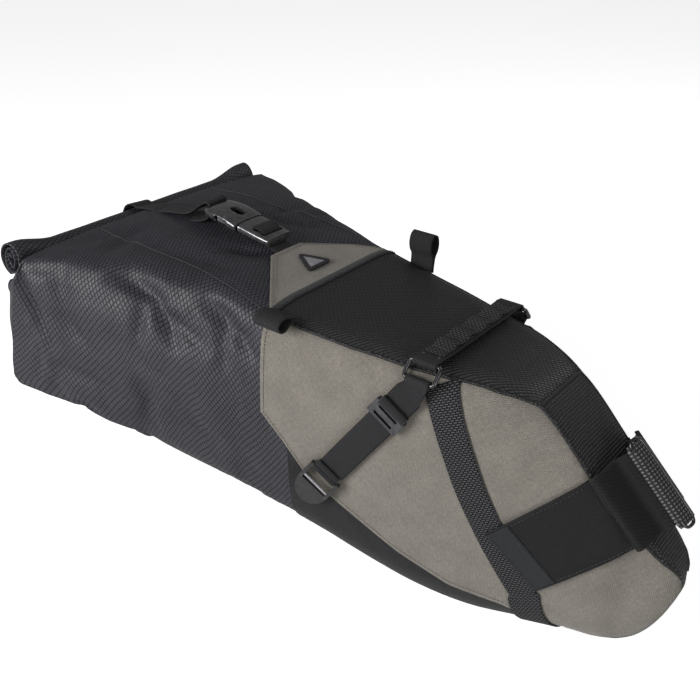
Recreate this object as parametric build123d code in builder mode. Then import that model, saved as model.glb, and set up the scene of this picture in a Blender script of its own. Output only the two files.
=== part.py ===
from build123d import *
import math
import os

# Saddle bag (bikepacking seat pack) with a roll-top rear closure.
# Millimetres.  Origin: midway between the two saddle-rail rings on the top of the bag.
# +X runs forward to the nose at the seatpost, +Y to the rider's left, +Z up.

# ---------------------------------------------------------------- driving sizes
WALL = 2.0               # main bag wall
PANEL_GAP = 0.25         # clearance between main bag and the sewn-on panels
PANEL_T = 1.0            # panel cloth thickness
WEB_W = 21.5             # webbing width
WEB_T = 1.3              # webbing thickness
WEB_OFF = 1.5            # webbing on the panels stands this far off the bag
TAIL_OFF = 3.1           # free end of the seatpost strap, likewise
RAIL_OFF = 4.7           # rail straps, clear of the belly strap and the slider plates
STRAP_T = 1.4            # seatpost strap thickness
STRAP_H = 57.0           # seatpost strap height, measured along the post
SEAM = 0.12              # half the gap at each welded seam
NOSE_SEAM_X = 0.0        # seam between the tube of the bag and its nose
REAR_SEAM_X = -354.95    # seam between the tube and the rear wall
REACH = 260.0            # trimming blocks run this far sideways, well past the bag

# side of the bag: sign of y, tag in the file names
SIDES = ((-1, "right"), (1, "left"))

# body stations: x, top z, bottom z, half width at top, middle, bottom
STATIONS = [
    (-357.0, 25.0, -109.0, 153.0, 157.0, 158.0),
    (-315.0, 28.0, -119.0, 135.0, 141.0, 141.0),
    (-249.0, 29.5, -146.8, 111.0, 118.0, 115.0),
    (-183.0, 26.5, -167.2, 94.0, 101.0, 98.0),
    (-133.0, 19.0, -175.2, 83.0, 91.0, 88.0),
    (-83.0, 13.0, -184.5, 76.0, 84.0, 80.0),
    (-41.5, 9.5, -196.4, 69.0, 77.0, 72.0),
    (0.0, 5.5, -205.2, 60.0, 69.0, 64.0),
    (41.5, 1.5, -207.6, 49.0, 60.0, 54.0),
    (80.5, -12.0, -200.5, 36.0, 50.0, 45.0),
    (119.0, -48.0, -192.5, 31.0, 41.0, 36.5),
    (140.0, -69.0, -190.8, 29.0, 34.0, 30.0),
    (153.5, -83.0, -189.0, 23.0, 25.0, 21.5),
    (166.0, -95.5, -178.0, 18.0, 19.5, 16.0),
    (174.5, -104.5, -163.0, 14.5, 15.5, 12.5),
    (180.5, -112.0, -147.0, 10.5, 11.0, 9.5),
    (183.5, -119.5, -136.0, 6.5, 6.5, 6.0),
]
TOP_COLUMN, BOTTOM_COLUMN = 3, 5     # station columns with the top and bottom half widths

# +Y half of every section, top to bottom: share of the half width, share of the half height
HALF_SECTION = [(0.80, 0.99), (0.945, 0.945), (0.99, 0.82), (1.0, 0.40),
                (1.0, -0.10), (0.99, -0.60), (0.90, -0.86), (0.62, -0.985)]
TIP_START_X = 140.0      # in front of this a grown form also moves forward
REAR_END_X = -350.0      # behind this it moves back


# ---------------------------------------------------------------- bag form
def section_points(row, growth):
    """Closed many-sided section (y, z) at one station, pushed outwards by growth."""
    x, z_top, z_bottom, w_top, w_mid, w_bottom = row
    half_height = (z_top - z_bottom) / 2.0 + growth
    z_mid = (z_top + z_bottom) / 2.0
    half = []
    for share_w, share_h in HALF_SECTION:
        w_end = w_top if share_h > 0 else w_bottom
        width = w_mid + (w_end - w_mid) * share_h * share_h + growth
        half.append((share_w * width, z_mid + share_h * half_height))
    return half + [(-y, z) for y, z in reversed(half)]


def shifted_x(x, growth):
    """Station x of a grown form, so that the two ends move out as well."""
    if x > 0:
        share = (x - TIP_START_X) / (STATIONS[-1][0] - TIP_START_X)
        return x + growth * max(0.0, min(1.0, share))
    return x - (growth if x < REAR_END_X else 0.0)


def make_skin(growth):
    """Whole bag form pushed outwards by growth, as one closed solid."""
    with BuildPart() as form:
        for row in STATIONS:
            with BuildSketch(Plane.YZ.offset(shifted_x(row[0], growth))):
                with BuildLine():
                    Polyline(*section_points(row, growth), close=True)
                make_face()
        loft(ruled=True)
    return form.part


def shell(offset, thickness):
    """Layer that follows the bag, its inner face offset from the bag's outer face."""
    outer = make_skin(offset + thickness)
    inner = make_skin(offset)
    with BuildPart() as layer:
        add(outer)
        add(inner, mode=Mode.SUBTRACT)
    return layer.part


def row_at(x):
    """Station row interpolated at x."""
    for a, b in zip(STATIONS, STATIONS[1:]):
        if a[0] <= x <= b[0]:
            share = (x - a[0]) / (b[0] - a[0])
            return [p + (q - p) * share for p, q in zip(a, b)]
    return list(STATIONS[0] if x < 0 else STATIONS[-1])


def half_width(x, z):
    """Half width of the bag at x and height z."""
    half = section_points(row_at(x), 0.0)[: len(HALF_SECTION)]
    for (y1, z1), (y2, z2) in zip(half, half[1:]):
        if z2 <= z <= z1:
            return y1 + (y2 - y1) * (z1 - z) / (z1 - z2)
    return half[0][0] if z > half[0][1] else half[-1][0]


# ---------------------------------------------------------------- trimming layers to outlines
def rectangle(x0, y0, x1, y1):
    return [(x0, y0), (x1, y0), (x1, y1), (x0, y1)]


def mirrored(edge):
    """Outline closed by the mirror image of an edge seen from above."""
    return edge + [(x, -y) for x, y in reversed(edge)]


def from_above(outline, z0, z1, mode=Mode.INTERSECT):
    """Cut by an upright block over an (x, y) outline."""
    return Plane.XY.offset(z0), outline, z1 - z0, False, mode


def from_side(outline, side=0, mode=Mode.INTERSECT):
    """Cut by a crosswise block over an (x, z) outline, on one side or (0) on both."""
    # Plane.XZ faces -Y
    return Plane.XZ, outline, -REACH * side if side else REACH, side == 0, mode


def trimmed(layer, *cuts):
    """Layer after each cut in turn."""
    with BuildPart() as piece:
        add(layer)
        for plane, outline, amount, both, mode in cuts:
            with BuildSketch(plane):
                with BuildLine():
                    Polyline(*outline, close=True)
                make_face()
            extrude(amount=amount, both=both, mode=mode)
    return piece.part


def edge_plane(base, x, y, z):
    """Plane at a point of base, facing along its y, with x kept (sketch y is base -z)."""
    origin = base.origin + base.x_dir * x + base.y_dir * y + base.z_dir * z
    return Plane(origin=origin, x_dir=base.x_dir, z_dir=base.y_dir)


def save(part, name):
    part.label = name
    export_step(part, "parts/%s.step" % name)


os.makedirs("parts", exist_ok=True)

bag_shell = shell(-WALL, WALL)
panel_shell = shell(PANEL_GAP, PANEL_T)
web_shell = shell(WEB_OFF, WEB_T)
rail_shell = shell(RAIL_OFF, WEB_T)

# ---------------------------------------------------------------- main bag
TOP_SHARE, BOTTOM_SHARE = 0.88, 0.78     # share of the half width taken by top and bottom
TOP_Z = (-30, 60)                        # heights that hold the top wall
BOTTOM_Z = (-240, -80)                   # heights that hold the bottom wall
BAG_Z = (-240, 60)


def strip(column, share, x0, x1, grow):
    """Outline seen from above: a share of one station width column, from x0 to x1."""
    xs = [x0] + [row[0] for row in STATIONS if x0 < row[0] < x1] + [x1]
    return mirrored([(x, row_at(x)[column] * share + grow) for x in xs])


tube_x = (REAR_SEAM_X + SEAM, NOSE_SEAM_X - SEAM)
past_tube_x = (REAR_SEAM_X - 1, NOSE_SEAM_X + 1)

save(trimmed(bag_shell, from_above(strip(TOP_COLUMN, TOP_SHARE, *tube_x, 0), *TOP_Z)),
     "main_bag_top")
save(trimmed(bag_shell, from_above(strip(BOTTOM_COLUMN, BOTTOM_SHARE, *tube_x, 0), *BOTTOM_Z)),
     "main_bag_bottom")
top_gap = strip(TOP_COLUMN, TOP_SHARE, *past_tube_x, 2 * SEAM)
bottom_gap = strip(BOTTOM_COLUMN, BOTTOM_SHARE, *past_tube_x, 2 * SEAM)
for side, tag in SIDES:
    bag_side = trimmed(
        bag_shell,
        from_above(rectangle(tube_x[0], 0, tube_x[1], REACH * side), *BAG_Z),
        from_above(top_gap, *TOP_Z, mode=Mode.SUBTRACT),
        from_above(bottom_gap, *BOTTOM_Z, mode=Mode.SUBTRACT),
    )
    save(bag_side, "main_bag_side_" + tag)
rear_block = rectangle(-380, -REACH, REAR_SEAM_X - SEAM, REACH)
save(trimmed(bag_shell, from_above(rear_block, *BAG_Z)), "main_bag_rear")
nose_block = rectangle(NOSE_SEAM_X + SEAM, -REACH, 240, REACH)
save(trimmed(bag_shell, from_above(nose_block, *BAG_Z)), "main_bag_nose")

# ---------------------------------------------------------------- sewn panels
NOSE_HALF = 29.5         # half width of the nose panel
PANEL_SEAM = 0.4         # side panels stop this far outside the top and nose panels

# seam between the top panel and the side panels, seen from above (x, half width)
TOP_EDGE = [(-131.0, 76.0), (-99.0, 72.5), (-60.0, 67.0), (-13.0, 58.0), (15.0, 51.0),
            (50.0, 40.5), (76.0, NOSE_HALF)]
# edge of the nose panel, seen from above (x, half width), narrowing round the tip
NOSE_EDGE = [(76.5, NOSE_HALF), (119.0, NOSE_HALF), (140.0, 26.5), (153.5, 20.5),
             (166.0, 15.0), (174.5, 11.5), (230.0, 11.5)]
# side panels seen from the side (x, z): rear corner, lower edge, then clear of the nose
SIDE_OUTLINE = [(-131.5, 70.0),
                (-135.0, -62.0), (-111.0, -87.0), (-92.0, -110.0), (-60.0, -129.5),
                (-11.6, -158.0), (31.0, -176.0), (71.0, -180.0), (104.0, -190.5),
                (120.0, -200.0), (165.0, -202.0),
                (215.0, -160.0), (215.0, 70.0)]
# nose panel seen from the side (x, z)
NOSE_OUTLINE = [(76.5, 60), (76.5, -90), (104, -130), (104, -230), (230, -230), (230, 60)]
# rear flap, rear end narrow (x, half width)
FLAP_OUTLINE = [(-131.6, 76), (-183, 18.5), (-183, -18.5), (-131.6, -76)]
# belly panel seen from the side (x, z): upper edge, then below the bag
BELLY_OUTLINE = [(-108, -92.2), (-92, -111), (-60, -130.3), (-11.6, -158.8), (31, -176.8),
                 (71, -180.8), (103.4, -191.0), (103.4, -230), (-108, -230)]

inside_edge = [(-140.0, TOP_EDGE[0][1] + PANEL_SEAM)]
inside_edge += [(x, y + PANEL_SEAM) for x, y in TOP_EDGE[:-1] + NOSE_EDGE]
for side, tag in SIDES:
    side_panel = trimmed(
        panel_shell,
        from_side(SIDE_OUTLINE, side),
        from_above(mirrored(inside_edge), -260, 140, mode=Mode.SUBTRACT),
    )
    save(side_panel, "side_panel_" + tag)

save(trimmed(panel_shell, from_above(mirrored(TOP_EDGE), -70, 80)), "top_panel")

nose_panel = trimmed(
    panel_shell,
    (Plane.XZ, NOSE_OUTLINE, NOSE_HALF, True, Mode.INTERSECT),
    from_above(mirrored(NOSE_EDGE), -240, 60),
)
save(nose_panel, "nose_panel")

save(trimmed(panel_shell, from_above(FLAP_OUTLINE, -40, 80)), "rear_flap")
save(trimmed(panel_shell, from_side(BELLY_OUTLINE)), "belly_panel")

# stiffening board inside the nose, following the lower front of the bag
BOARD_GAP = 0.4          # clearance to the inside of the wall
BOARD_T = 1.5
BOARD_HALF = 26          # half width
# seen from the side (x, z): upper edge, then below the bag
BOARD_OUTLINE = [(-40, -150), (40, -168), (100, -168), (150, -160), (188, -140), (230, -140),
                 (230, -230), (-40, -230)]
nose_stiffener = trimmed(
    shell(-WALL - BOARD_GAP - BOARD_T, BOARD_T),
    (Plane.XZ, BOARD_OUTLINE, BOARD_HALF, True, Mode.INTERSECT),
)
save(nose_stiffener, "nose_stiffener")

# ---------------------------------------------------------------- belly strap
# seen from the side (x, z): down the rear edge, under the bag, up the front edge
BELLY_STRAP_OUTLINE = [(2.5, -6.0), (13, -47.7), (30, -85), (52, -126), (72, -160), (88, -200),
                       (88, -230), (116, -230), (116, -200), (104, -160), (80, -118),
                       (56, -70), (40, -34), (23.5, -6.0)]
save(trimmed(web_shell, from_side(BELLY_STRAP_OUTLINE)), "belly_strap")

# ---------------------------------------------------------------- rail straps
# centre line of a rail strap seen from the side (x, z), running back and down
STRAP_TOP = (-1.0, -6.0)
STRAP_FOOT = (-68.5, -100.0)
strap_len = math.hypot(STRAP_FOOT[0] - STRAP_TOP[0], STRAP_FOOT[1] - STRAP_TOP[1])
strap_dx = (STRAP_FOOT[0] - STRAP_TOP[0]) / strap_len
strap_dz = (STRAP_FOOT[1] - STRAP_TOP[1]) / strap_len


def along(distance, across=0.0):
    """Point (x, z) at a distance down the strap; across is positive forward and down."""
    return (STRAP_TOP[0] + strap_dx * distance - strap_dz * across,
            STRAP_TOP[1] + strap_dz * distance + strap_dx * across)


def strap_frame(side, centre, start, end, middle, half_span, offset):
    """Point at centre down the strap, offset off the bag, and the directions there.

    The slope down the strap is taken from start to end, the slope across it at middle.
    Returns the point and the directions down, across and outwards.
    """
    def on_bag(distance, across=0.0):
        x, z = along(distance, across)
        return Vector(x, side * (half_width(x, z) + offset), z)

    down = (on_bag(end) - on_bag(start)).normalized()
    across = (on_bag(middle, half_span) - on_bag(middle, -half_span)).normalized()
    outward = down.cross(across).normalized() * -side
    across = down.cross(outward).normalized() * -side
    return on_bag(centre), down, across, outward


strap_end = strap_len - 8.4
RAIL_STRAP_OUTLINE = [along(7.0, -WEB_W / 2), along(strap_end, -WEB_W / 2),
                      along(strap_end, WEB_W / 2), along(17.0, WEB_W / 2)]
for side, tag in SIDES:
    save(trimmed(rail_shell, from_side(RAIL_STRAP_OUTLINE, side)), "rail_strap_" + tag)

# ---------------------------------------------------------------- rail rings
RING_X = 0.0             # rail ring centre
RING_Y = 63.0
RING_Z = 4.6
RING_WIRE = 1.6          # wire radius
RING_IN_W = 22.6         # inner width
RING_IN_H = 10.8         # inner height
RING_OUT, RING_DOWN = 0.64, 0.768    # slope of the ring plane, outwards and down
RING_LOOP_W = 19.4       # width of the strap loop round the lower bar
RING_LOOP_GAP = 0.2
BAND_W = 19.6            # width of the band across the top
BAND_LOOP_GAP = 0.15
BAND_LOOP_T = 1.4

ring_half_w = RING_IN_W / 2 + RING_WIRE      # to the middle of the wire
ring_half_h = RING_IN_H / 2 + RING_WIRE
upper_y = RING_Y - RING_OUT * ring_half_h    # upper bar
upper_z = RING_Z + RING_DOWN * ring_half_h
lower_y = RING_Y + RING_OUT * ring_half_h    # lower bar
lower_z = RING_Z - RING_DOWN * ring_half_h

for side, tag in SIDES:
    # short loop of the rail strap round the lower bar of the ring
    with BuildPart() as ring_loop:
        bar_y = lower_y * side
        with BuildSketch(Plane.YZ.offset(RING_X - RING_LOOP_W / 2)):
            with Locations((bar_y, lower_z)):
                Circle(RING_WIRE + RING_LOOP_GAP + WEB_T)
            with BuildLine():
                Polyline((bar_y + 3.1 * side, lower_z), (bar_y - 0.2 * side, lower_z),
                         (bar_y - 1.6 * side, lower_z - 6.2),
                         (bar_y + 0.9 * side, lower_z - 6.2), close=True)
            make_face()
            with Locations((bar_y, lower_z)):
                Circle(RING_WIRE + RING_LOOP_GAP, mode=Mode.SUBTRACT)
        extrude(amount=RING_LOOP_W)
    save(ring_loop.part, "ring_strap_loop_" + tag)

    # rectangular wire ring with rounded corners
    with BuildPart() as rail_ring:
        ring_plane = Plane(origin=(RING_X, RING_Y * side, RING_Z), x_dir=(1, 0, 0),
                           z_dir=(0, RING_DOWN * side, RING_OUT))
        with BuildLine(ring_plane) as ring_path:
            FilletPolyline((-ring_half_w, -ring_half_h), (ring_half_w, -ring_half_h),
                           (ring_half_w, ring_half_h), (-ring_half_w, ring_half_h),
                           radius=3.0, close=True)
        with BuildSketch(Plane(origin=ring_path.line @ 0, z_dir=ring_path.line % 0)):
            Circle(RING_WIRE)
        sweep()
    save(rail_ring.part, "rail_ring_" + tag)

# daisy-chain band across the top, with a loop round the upper bar of each ring
with BuildPart() as rail_band:
    with BuildSketch(Plane.YZ.offset(RING_X - BAND_W / 2)):
        with Locations((-upper_y, upper_z), (upper_y, upper_z)):
            Circle(RING_WIRE + BAND_LOOP_GAP + BAND_LOOP_T)
        with BuildLine():
            Polyline((-upper_y, upper_z + 3.15), (-40, 11.4), (0, 11.9), (40, 11.4),
                     (upper_y, upper_z + 3.15), (upper_y - 0.8, upper_z + 1.0),
                     (40, 9.5), (0, 9.9), (-40, 9.5),
                     (-upper_y + 0.8, upper_z + 1.0), close=True)
        make_face()
        with Locations((-upper_y, upper_z), (upper_y, upper_z)):
            Circle(RING_WIRE + BAND_LOOP_GAP, mode=Mode.SUBTRACT)
    extrude(amount=BAND_W)
save(rail_band.part, "rail_band")

# ---------------------------------------------------------------- sliders on the rail straps
SLIDER_AT = 34.0         # distance down the strap
SLIDER_L, SLIDER_W = 28.5, 13.0      # across and along the strap
SLIDER_SLOT_Y = 3.2      # slots either side of the middle

for side, tag in SIDES:
    origin, down, across, outward = strap_frame(
        side, centre=SLIDER_AT, start=SLIDER_AT - 10.0, end=SLIDER_AT + 10.0,
        middle=SLIDER_AT, half_span=9.0, offset=RAIL_OFF + WEB_T / 2)
    slider_plane = Plane(origin=origin, x_dir=across, z_dir=outward)
    with BuildPart() as slider:
        with BuildSketch(slider_plane.offset(-2.9)):
            RectangleRounded(SLIDER_L, SLIDER_W, 2.0)
        extrude(amount=6.4)
        # passage for the strap, open at both ends
        with BuildSketch(slider_plane.offset(-1.7)):
            Rectangle(24.0, 20.0)
        extrude(amount=3.3, mode=Mode.SUBTRACT)
        with BuildSketch(slider_plane):
            with Locations((0, SLIDER_SLOT_Y), (0, -SLIDER_SLOT_Y)):
                SlotOverall(18.0, 2.2)
        extrude(amount=10, mode=Mode.SUBTRACT)
    save(slider.part, "strap_slider_" + tag)

# ---------------------------------------------------------------- hooks at the strap ends
HOOK_OFF = 7.4           # the hook's top bar stands this far off the bag
HOOK_HALF = 14.6         # half width over the arms
ARM_T = 3.0
HOOK_BAR_X, HOOK_BAR_Z = 14.0, 0.9   # steel bar, down the strap and outwards
HOOK_BAR_HALF = 14.4
LOOP_HALF = 10.6         # half width of the folded strap end
# arm profile: distance down the strap, distance inwards
ARM_PROFILE = [(-2.6, 0.0), (-2.2, -1.8), (0.0, -2.6), (8.0, -2.9), (16.0, -2.5),
               (20.0, -1.0), (17.5, 3.2), (10.0, 4.6), (2.0, 3.6)]
# rounded end of the tab: distance down the strap, distance across it
TAB_END = [(18.0, HOOK_HALF), (27.0, 13.2), (36.0, 7.5), (38.6, 0.0),
           (36.0, -7.5), (27.0, -13.2), (18.0, -HOOK_HALF)]

for side, tag in SIDES:
    origin, down, across, outward = strap_frame(
        side, centre=strap_len, start=strap_len - 4.0, end=strap_len + 34.0,
        middle=strap_len + 15.0, half_span=10.0, offset=HOOK_OFF)
    hook_plane = Plane(origin=origin, x_dir=down, z_dir=outward)

    # two raised arms, a top bar and a rounded tab
    with BuildPart() as hook:
        for arm_y in (-HOOK_HALF, HOOK_HALF - ARM_T):
            with BuildSketch(edge_plane(hook_plane, 0, arm_y, 0)):
                with BuildLine():
                    Spline(*ARM_PROFILE, periodic=True)
                make_face()
            extrude(amount=ARM_T)
        with BuildSketch(edge_plane(hook_plane, 0, -12.0, 0)):
            Circle(1.5)
        extrude(amount=24.0)
        with BuildSketch(hook_plane.offset(-1.6)):
            with BuildLine():
                Line(TAB_END[-1], TAB_END[0])
                Spline(*TAB_END)
            make_face()
        extrude(amount=3.4)
        # hole for the steel bar
        with BuildSketch(edge_plane(hook_plane, HOOK_BAR_X, -20.0, HOOK_BAR_Z)):
            Circle(1.55)
        extrude(amount=40.0, mode=Mode.SUBTRACT)
    save(hook.part, "strap_hook_" + tag)

    with BuildPart() as hook_bar:
        with BuildSketch(edge_plane(hook_plane, HOOK_BAR_X, -HOOK_BAR_HALF, HOOK_BAR_Z)):
            Circle(1.5)
        extrude(amount=2 * HOOK_BAR_HALF)
    save(hook_bar.part, "hook_bar_" + tag)

    # end of the strap folded round the hook's top bar
    with BuildPart() as strap_loop:
        with BuildSketch(edge_plane(hook_plane, 0, -LOOP_HALF, 0)):
            Circle(1.7 + WEB_T)
            with Locations((-4.2, -1.6)):
                Rectangle(5.8, 2 * WEB_T)
            Circle(1.65, mode=Mode.SUBTRACT)
        extrude(amount=2 * LOOP_HALF)
    save(strap_loop.part, "hook_strap_loop_" + tag)

# ---------------------------------------------------------------- rolled closure
ROLL_X, ROLL_Z = -376.5, 11.0
CLOSURE_R = 16.5         # radius along x; the roll is taller than this
CLOSURE_HALF = 148.0     # half length
STIFFENER_HALF = CLOSURE_HALF - 8

with BuildPart() as roll_closure:
    with BuildSketch(Plane.XZ.offset(-CLOSURE_HALF)):
        with Locations((ROLL_X, ROLL_Z)):
            Ellipse(CLOSURE_R, CLOSURE_R * 1.15)
            Ellipse(2.6, 8.6, mode=Mode.SUBTRACT)
    extrude(amount=2 * CLOSURE_HALF)
save(roll_closure.part, "roll_closure")

with BuildPart() as closure_stiffener:
    with BuildSketch(Plane.XZ.offset(-STIFFENER_HALF)):
        with Locations((ROLL_X, ROLL_Z)):
            SlotOverall(15.0, 3.0, rotation=90)
    extrude(amount=2 * STIFFENER_HALF)
save(closure_stiffener.part, "closure_stiffener")

# ---------------------------------------------------------------- top buckle
BUCKLE_W = 34.0          # width at the mouth
BUCKLE_TILT = 9.0        # the buckle drops this many degrees towards the nose
WEB_SLOT_X = -37.0       # webbing slot of the female half
PRONG_X, PRONG_Y = 7.0, 9.6          # centre of each prong root
PRONG_ROOT_R = 2.6
# rounded rear end of the female half (x, y)
FEMALE_END = [(-20, 17.6), (-34, 15.5), (-43, 9.0), (-46, 0), (-43, -9.0), (-34, -15.5),
              (-20, -17.6)]
# left prong (x, y)
PRONG_OUTLINE = [(7.0, 8.0), (-8.0, 8.2), (-15.0, 9.0), (-25.5, 9.4), (-27.5, 11.0),
                 (-23.0, 14.3), (-12.0, 14.3), (-9.5, 11.2), (7.0, 11.2)]

tilt_cos = math.cos(math.radians(BUCKLE_TILT))
tilt_sin = math.sin(math.radians(BUCKLE_TILT))
# origin at the mouth; x forward along the buckle, y left, z out of its top
buckle = Plane(origin=(-226.0, 0, 41.5), x_dir=(tilt_cos, 0, -tilt_sin),
               z_dir=(tilt_sin, 0, tilt_cos))

with BuildPart() as buckle_female:
    with BuildSketch(buckle.offset(-5.2)):
        with BuildLine():
            Polyline((0, -BUCKLE_W / 2), (0, BUCKLE_W / 2), FEMALE_END[0])
            Spline(*FEMALE_END)
            Line(FEMALE_END[-1], (0, -BUCKLE_W / 2))
        make_face()
    extrude(amount=10.4)
    rounded_edges = buckle_female.edges().filter_by(Axis.Y, reverse=True)
    fillet(rounded_edges.filter_by(GeomType.BSPLINE), 2.2)
    # mouth for the prongs and the tongue, cut from just in front of the body
    with BuildSketch(Plane(origin=buckle.origin + buckle.x_dir * 1.0, x_dir=buckle.y_dir,
                           z_dir=buckle.x_dir * -1)):
        RectangleRounded(29.6, 6.8, 1.5)
    extrude(amount=31.5, mode=Mode.SUBTRACT)
    # side windows
    with BuildSketch(buckle.offset(-3.4)):
        with Locations((-17.5, 16.0), (-17.5, -16.0)):
            Rectangle(15.0, 6.0)
    extrude(amount=6.8, mode=Mode.SUBTRACT)
    # cut-out in the roof
    with BuildSketch(buckle):
        with Locations((-13.0, 0)):
            SlotOverall(15.0, 9.0)
    extrude(amount=12, mode=Mode.SUBTRACT)
    # slot for the webbing
    with BuildSketch(buckle.offset(-12)):
        with Locations((WEB_SLOT_X, 0)):
            Rectangle(3.6, 22.6)
    extrude(amount=24, mode=Mode.SUBTRACT)
save(buckle_female.part, "buckle_female")

with BuildPart() as buckle_male:
    with BuildSketch(buckle.offset(-4.2)):
        with Locations((19.0, 0)):
            RectangleRounded(34.0, 31.0, 4.0)
    extrude(amount=8.4)
    fillet(buckle_male.faces().sort_by(Axis.Z)[-1].edges(), 1.6)
    # two webbing slots
    with BuildSketch(buckle.offset(-12)):
        with Locations((17.6, 0), (27.6, 0)):
            Rectangle(4.6, 23.0)
    extrude(amount=24, mode=Mode.SUBTRACT)
    # sockets for the prong roots, open towards the mouth
    with BuildSketch(buckle.offset(-2.7)):
        with Locations((PRONG_X, PRONG_Y), (PRONG_X, -PRONG_Y)):
            Circle(PRONG_ROOT_R + 0.06)
        with Locations((3.0, PRONG_Y), (3.0, -PRONG_Y)):
            Rectangle(8.0, 5.3)
    extrude(amount=5.4, mode=Mode.SUBTRACT)
    # centre tongue
    with BuildSketch(buckle.offset(-1.6)):
        with Locations((-10.0, 0)):
            Rectangle(26.0, 6.0)
    extrude(amount=3.2)
save(buckle_male.part, "buckle_male")

for side, tag in SIDES:
    with BuildPart() as prong:
        with BuildSketch(buckle.offset(-2.5)):
            with Locations((PRONG_X, PRONG_Y * side)):
                Circle(PRONG_ROOT_R)
            with BuildLine():
                Polyline(*[(x, y * side) for x, y in PRONG_OUTLINE], close=True)
            make_face()
        extrude(amount=5.0)
    save(prong.part, "buckle_prong_" + tag)

# ---------------------------------------------------------------- buckle webbing
FLAP_STRAP_HALF = 10.0   # half width
ROLL_STRAP_HALF = 10.5
WRAP_RX, WRAP_RZ = 17.4, 19.9        # inner radii of the webbing round the roll
# side profile in the buckle's frame (x, z)
FLAP_STRAP_PROFILE = [(26.9, 5.2), (28.2, 5.2), (28.2, -4.9), (36.5, -5.2), (43.3, -6.4),
                      (43.3, -7.7), (36.5, -6.5), (26.9, -6.2)]

# from the flap up to the male half
with BuildPart() as flap_strap:
    with BuildSketch(Plane(origin=buckle.origin + buckle.y_dir * FLAP_STRAP_HALF,
                           x_dir=buckle.x_dir, z_dir=buckle.y_dir * -1)):
        with BuildLine():
            Polyline(*FLAP_STRAP_PROFILE, close=True)
        make_face()
    extrude(amount=2 * FLAP_STRAP_HALF)
save(flap_strap.part, "flap_strap")


def wrap(grow):
    """Arc round the rear of the roll, from its top over the back, as (x, z) points."""
    angles = [math.radians(degrees) for degrees in range(84, 197, 16)]
    return [(ROLL_X + (WRAP_RX + grow) * math.cos(angle),
             ROLL_Z + (WRAP_RZ + grow) * math.sin(angle)) for angle in angles]


# from the rolled closure to the female half
slot = buckle.origin + buckle.x_dir * WEB_SLOT_X
with BuildPart() as roll_strap:
    with BuildSketch(Plane.XZ.offset(ROLL_STRAP_HALF)):
        with BuildLine():
            Polyline((slot.X + 0.7, slot.Z + 4.6), (slot.X - 0.6, slot.Z + 4.6),
                     (slot.X - 0.6, slot.Z - 8.0), (-290, 37.2), (-330, 34.0), (-356, 32.8),
                     *wrap(WEB_T), *reversed(wrap(0.0)),
                     (-356, 31.4), (-330, 32.6), (-290, 35.8),
                     (slot.X + 0.7, slot.Z - 9.4), close=True)
        make_face()
    extrude(amount=-2 * ROLL_STRAP_HALF)
save(roll_strap.part, "roll_strap")

# ---------------------------------------------------------------- badge on the flap
# rounded triangle pointing back, with a recessed face
BADGE_TILT = math.radians(8.3)       # drops towards the nose
badge_plane = Plane(origin=(-157.0, 0, 24.5),
                    x_dir=(math.cos(BADGE_TILT), 0, -math.sin(BADGE_TILT)),
                    z_dir=(math.sin(BADGE_TILT), 0, math.cos(BADGE_TILT)))
with BuildPart() as flap_badge:
    with BuildSketch(badge_plane):
        with BuildLine():
            FilletPolyline((12.0, 14.5), (12.0, -14.5), (-14.0, 0.0), radius=2.5, close=True)
        make_face()
    extrude(amount=2.2)
    with BuildSketch(badge_plane.offset(1.5)):
        with BuildLine():
            FilletPolyline((9.4, 10.0), (9.4, -10.0), (-9.0, 0.0), radius=1.2, close=True)
        make_face()
    extrude(amount=2, mode=Mode.SUBTRACT)
save(flap_badge.part, "flap_badge")

# ---------------------------------------------------------------- light loops
# at the rear corners of the top panel
LIGHT_LOOP_T = 1.4
# tag, rear x, length, centre (y, z), radii (y, z), foot outline (y, z)
LIGHT_LOOPS = [
    ("right", -131.0, 25.0, (-88.0, 16.6), (7.0, 5.6),
     [(-82.5, 20.0), (-76.5, 19.6), (-74.0, 18.4), (-75.0, 17.0), (-83.0, 15.5)]),
    ("left", -108.0, 22.0, (78.5, 30.5), (6.2, 10.0),
     [(76.6, 22.0), (77.0, 17.2), (79.2, 17.2), (80.6, 22.0)]),
]
for tag, rear_x, length, centre, (radius_y, radius_z), foot in LIGHT_LOOPS:
    with BuildPart() as light_loop:
        with BuildSketch(Plane.YZ.offset(rear_x)):
            with Locations(centre):
                Ellipse(radius_y, radius_z)
            with BuildLine():
                Polyline(*foot, close=True)
            make_face()
            with Locations(centre):
                Ellipse(radius_y - LIGHT_LOOP_T, radius_z - LIGHT_LOOP_T, mode=Mode.SUBTRACT)
        extrude(amount=length)
    save(light_loop.part, "light_loop_" + tag)

# ---------------------------------------------------------------- seatpost strap
POST_R = 12.75                       # clamp radius inside the closed strap
POST_BASE = (139.6, -68.6)           # middle of the nose face, x and z
POST_OFF = 15.3                      # post centre stands this far off the nose face
EDGE_Y = 35.6                        # where the strap bends round the edges of the nose
DIAGONAL = math.sqrt(0.5)            # the post leans back at 45 degrees
strap_r = POST_R + STRAP_T

# x off the nose face, y left, z up along the post
post_plane = Plane(origin=(POST_BASE[0] + POST_OFF * DIAGONAL, 0.0,
                           POST_BASE[1] + POST_OFF * DIAGONAL),
                   x_dir=(DIAGONAL, 0, DIAGONAL), z_dir=(-DIAGONAL, 0, DIAGONAL))
# leg from the half circle back to the left edge of the nose (x, y)
LEG = [(4.0, strap_r), (-3.0, strap_r + 0.6), (-9.0, EDGE_Y + 0.8), (-13.0, EDGE_Y + 1.4),
       (-13.0, EDGE_Y), (-10.2, EDGE_Y - 0.7), (-5.0, POST_R + 0.8), (-2.0, POST_R - 1.0),
       (4.0, 8.0)]

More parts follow.
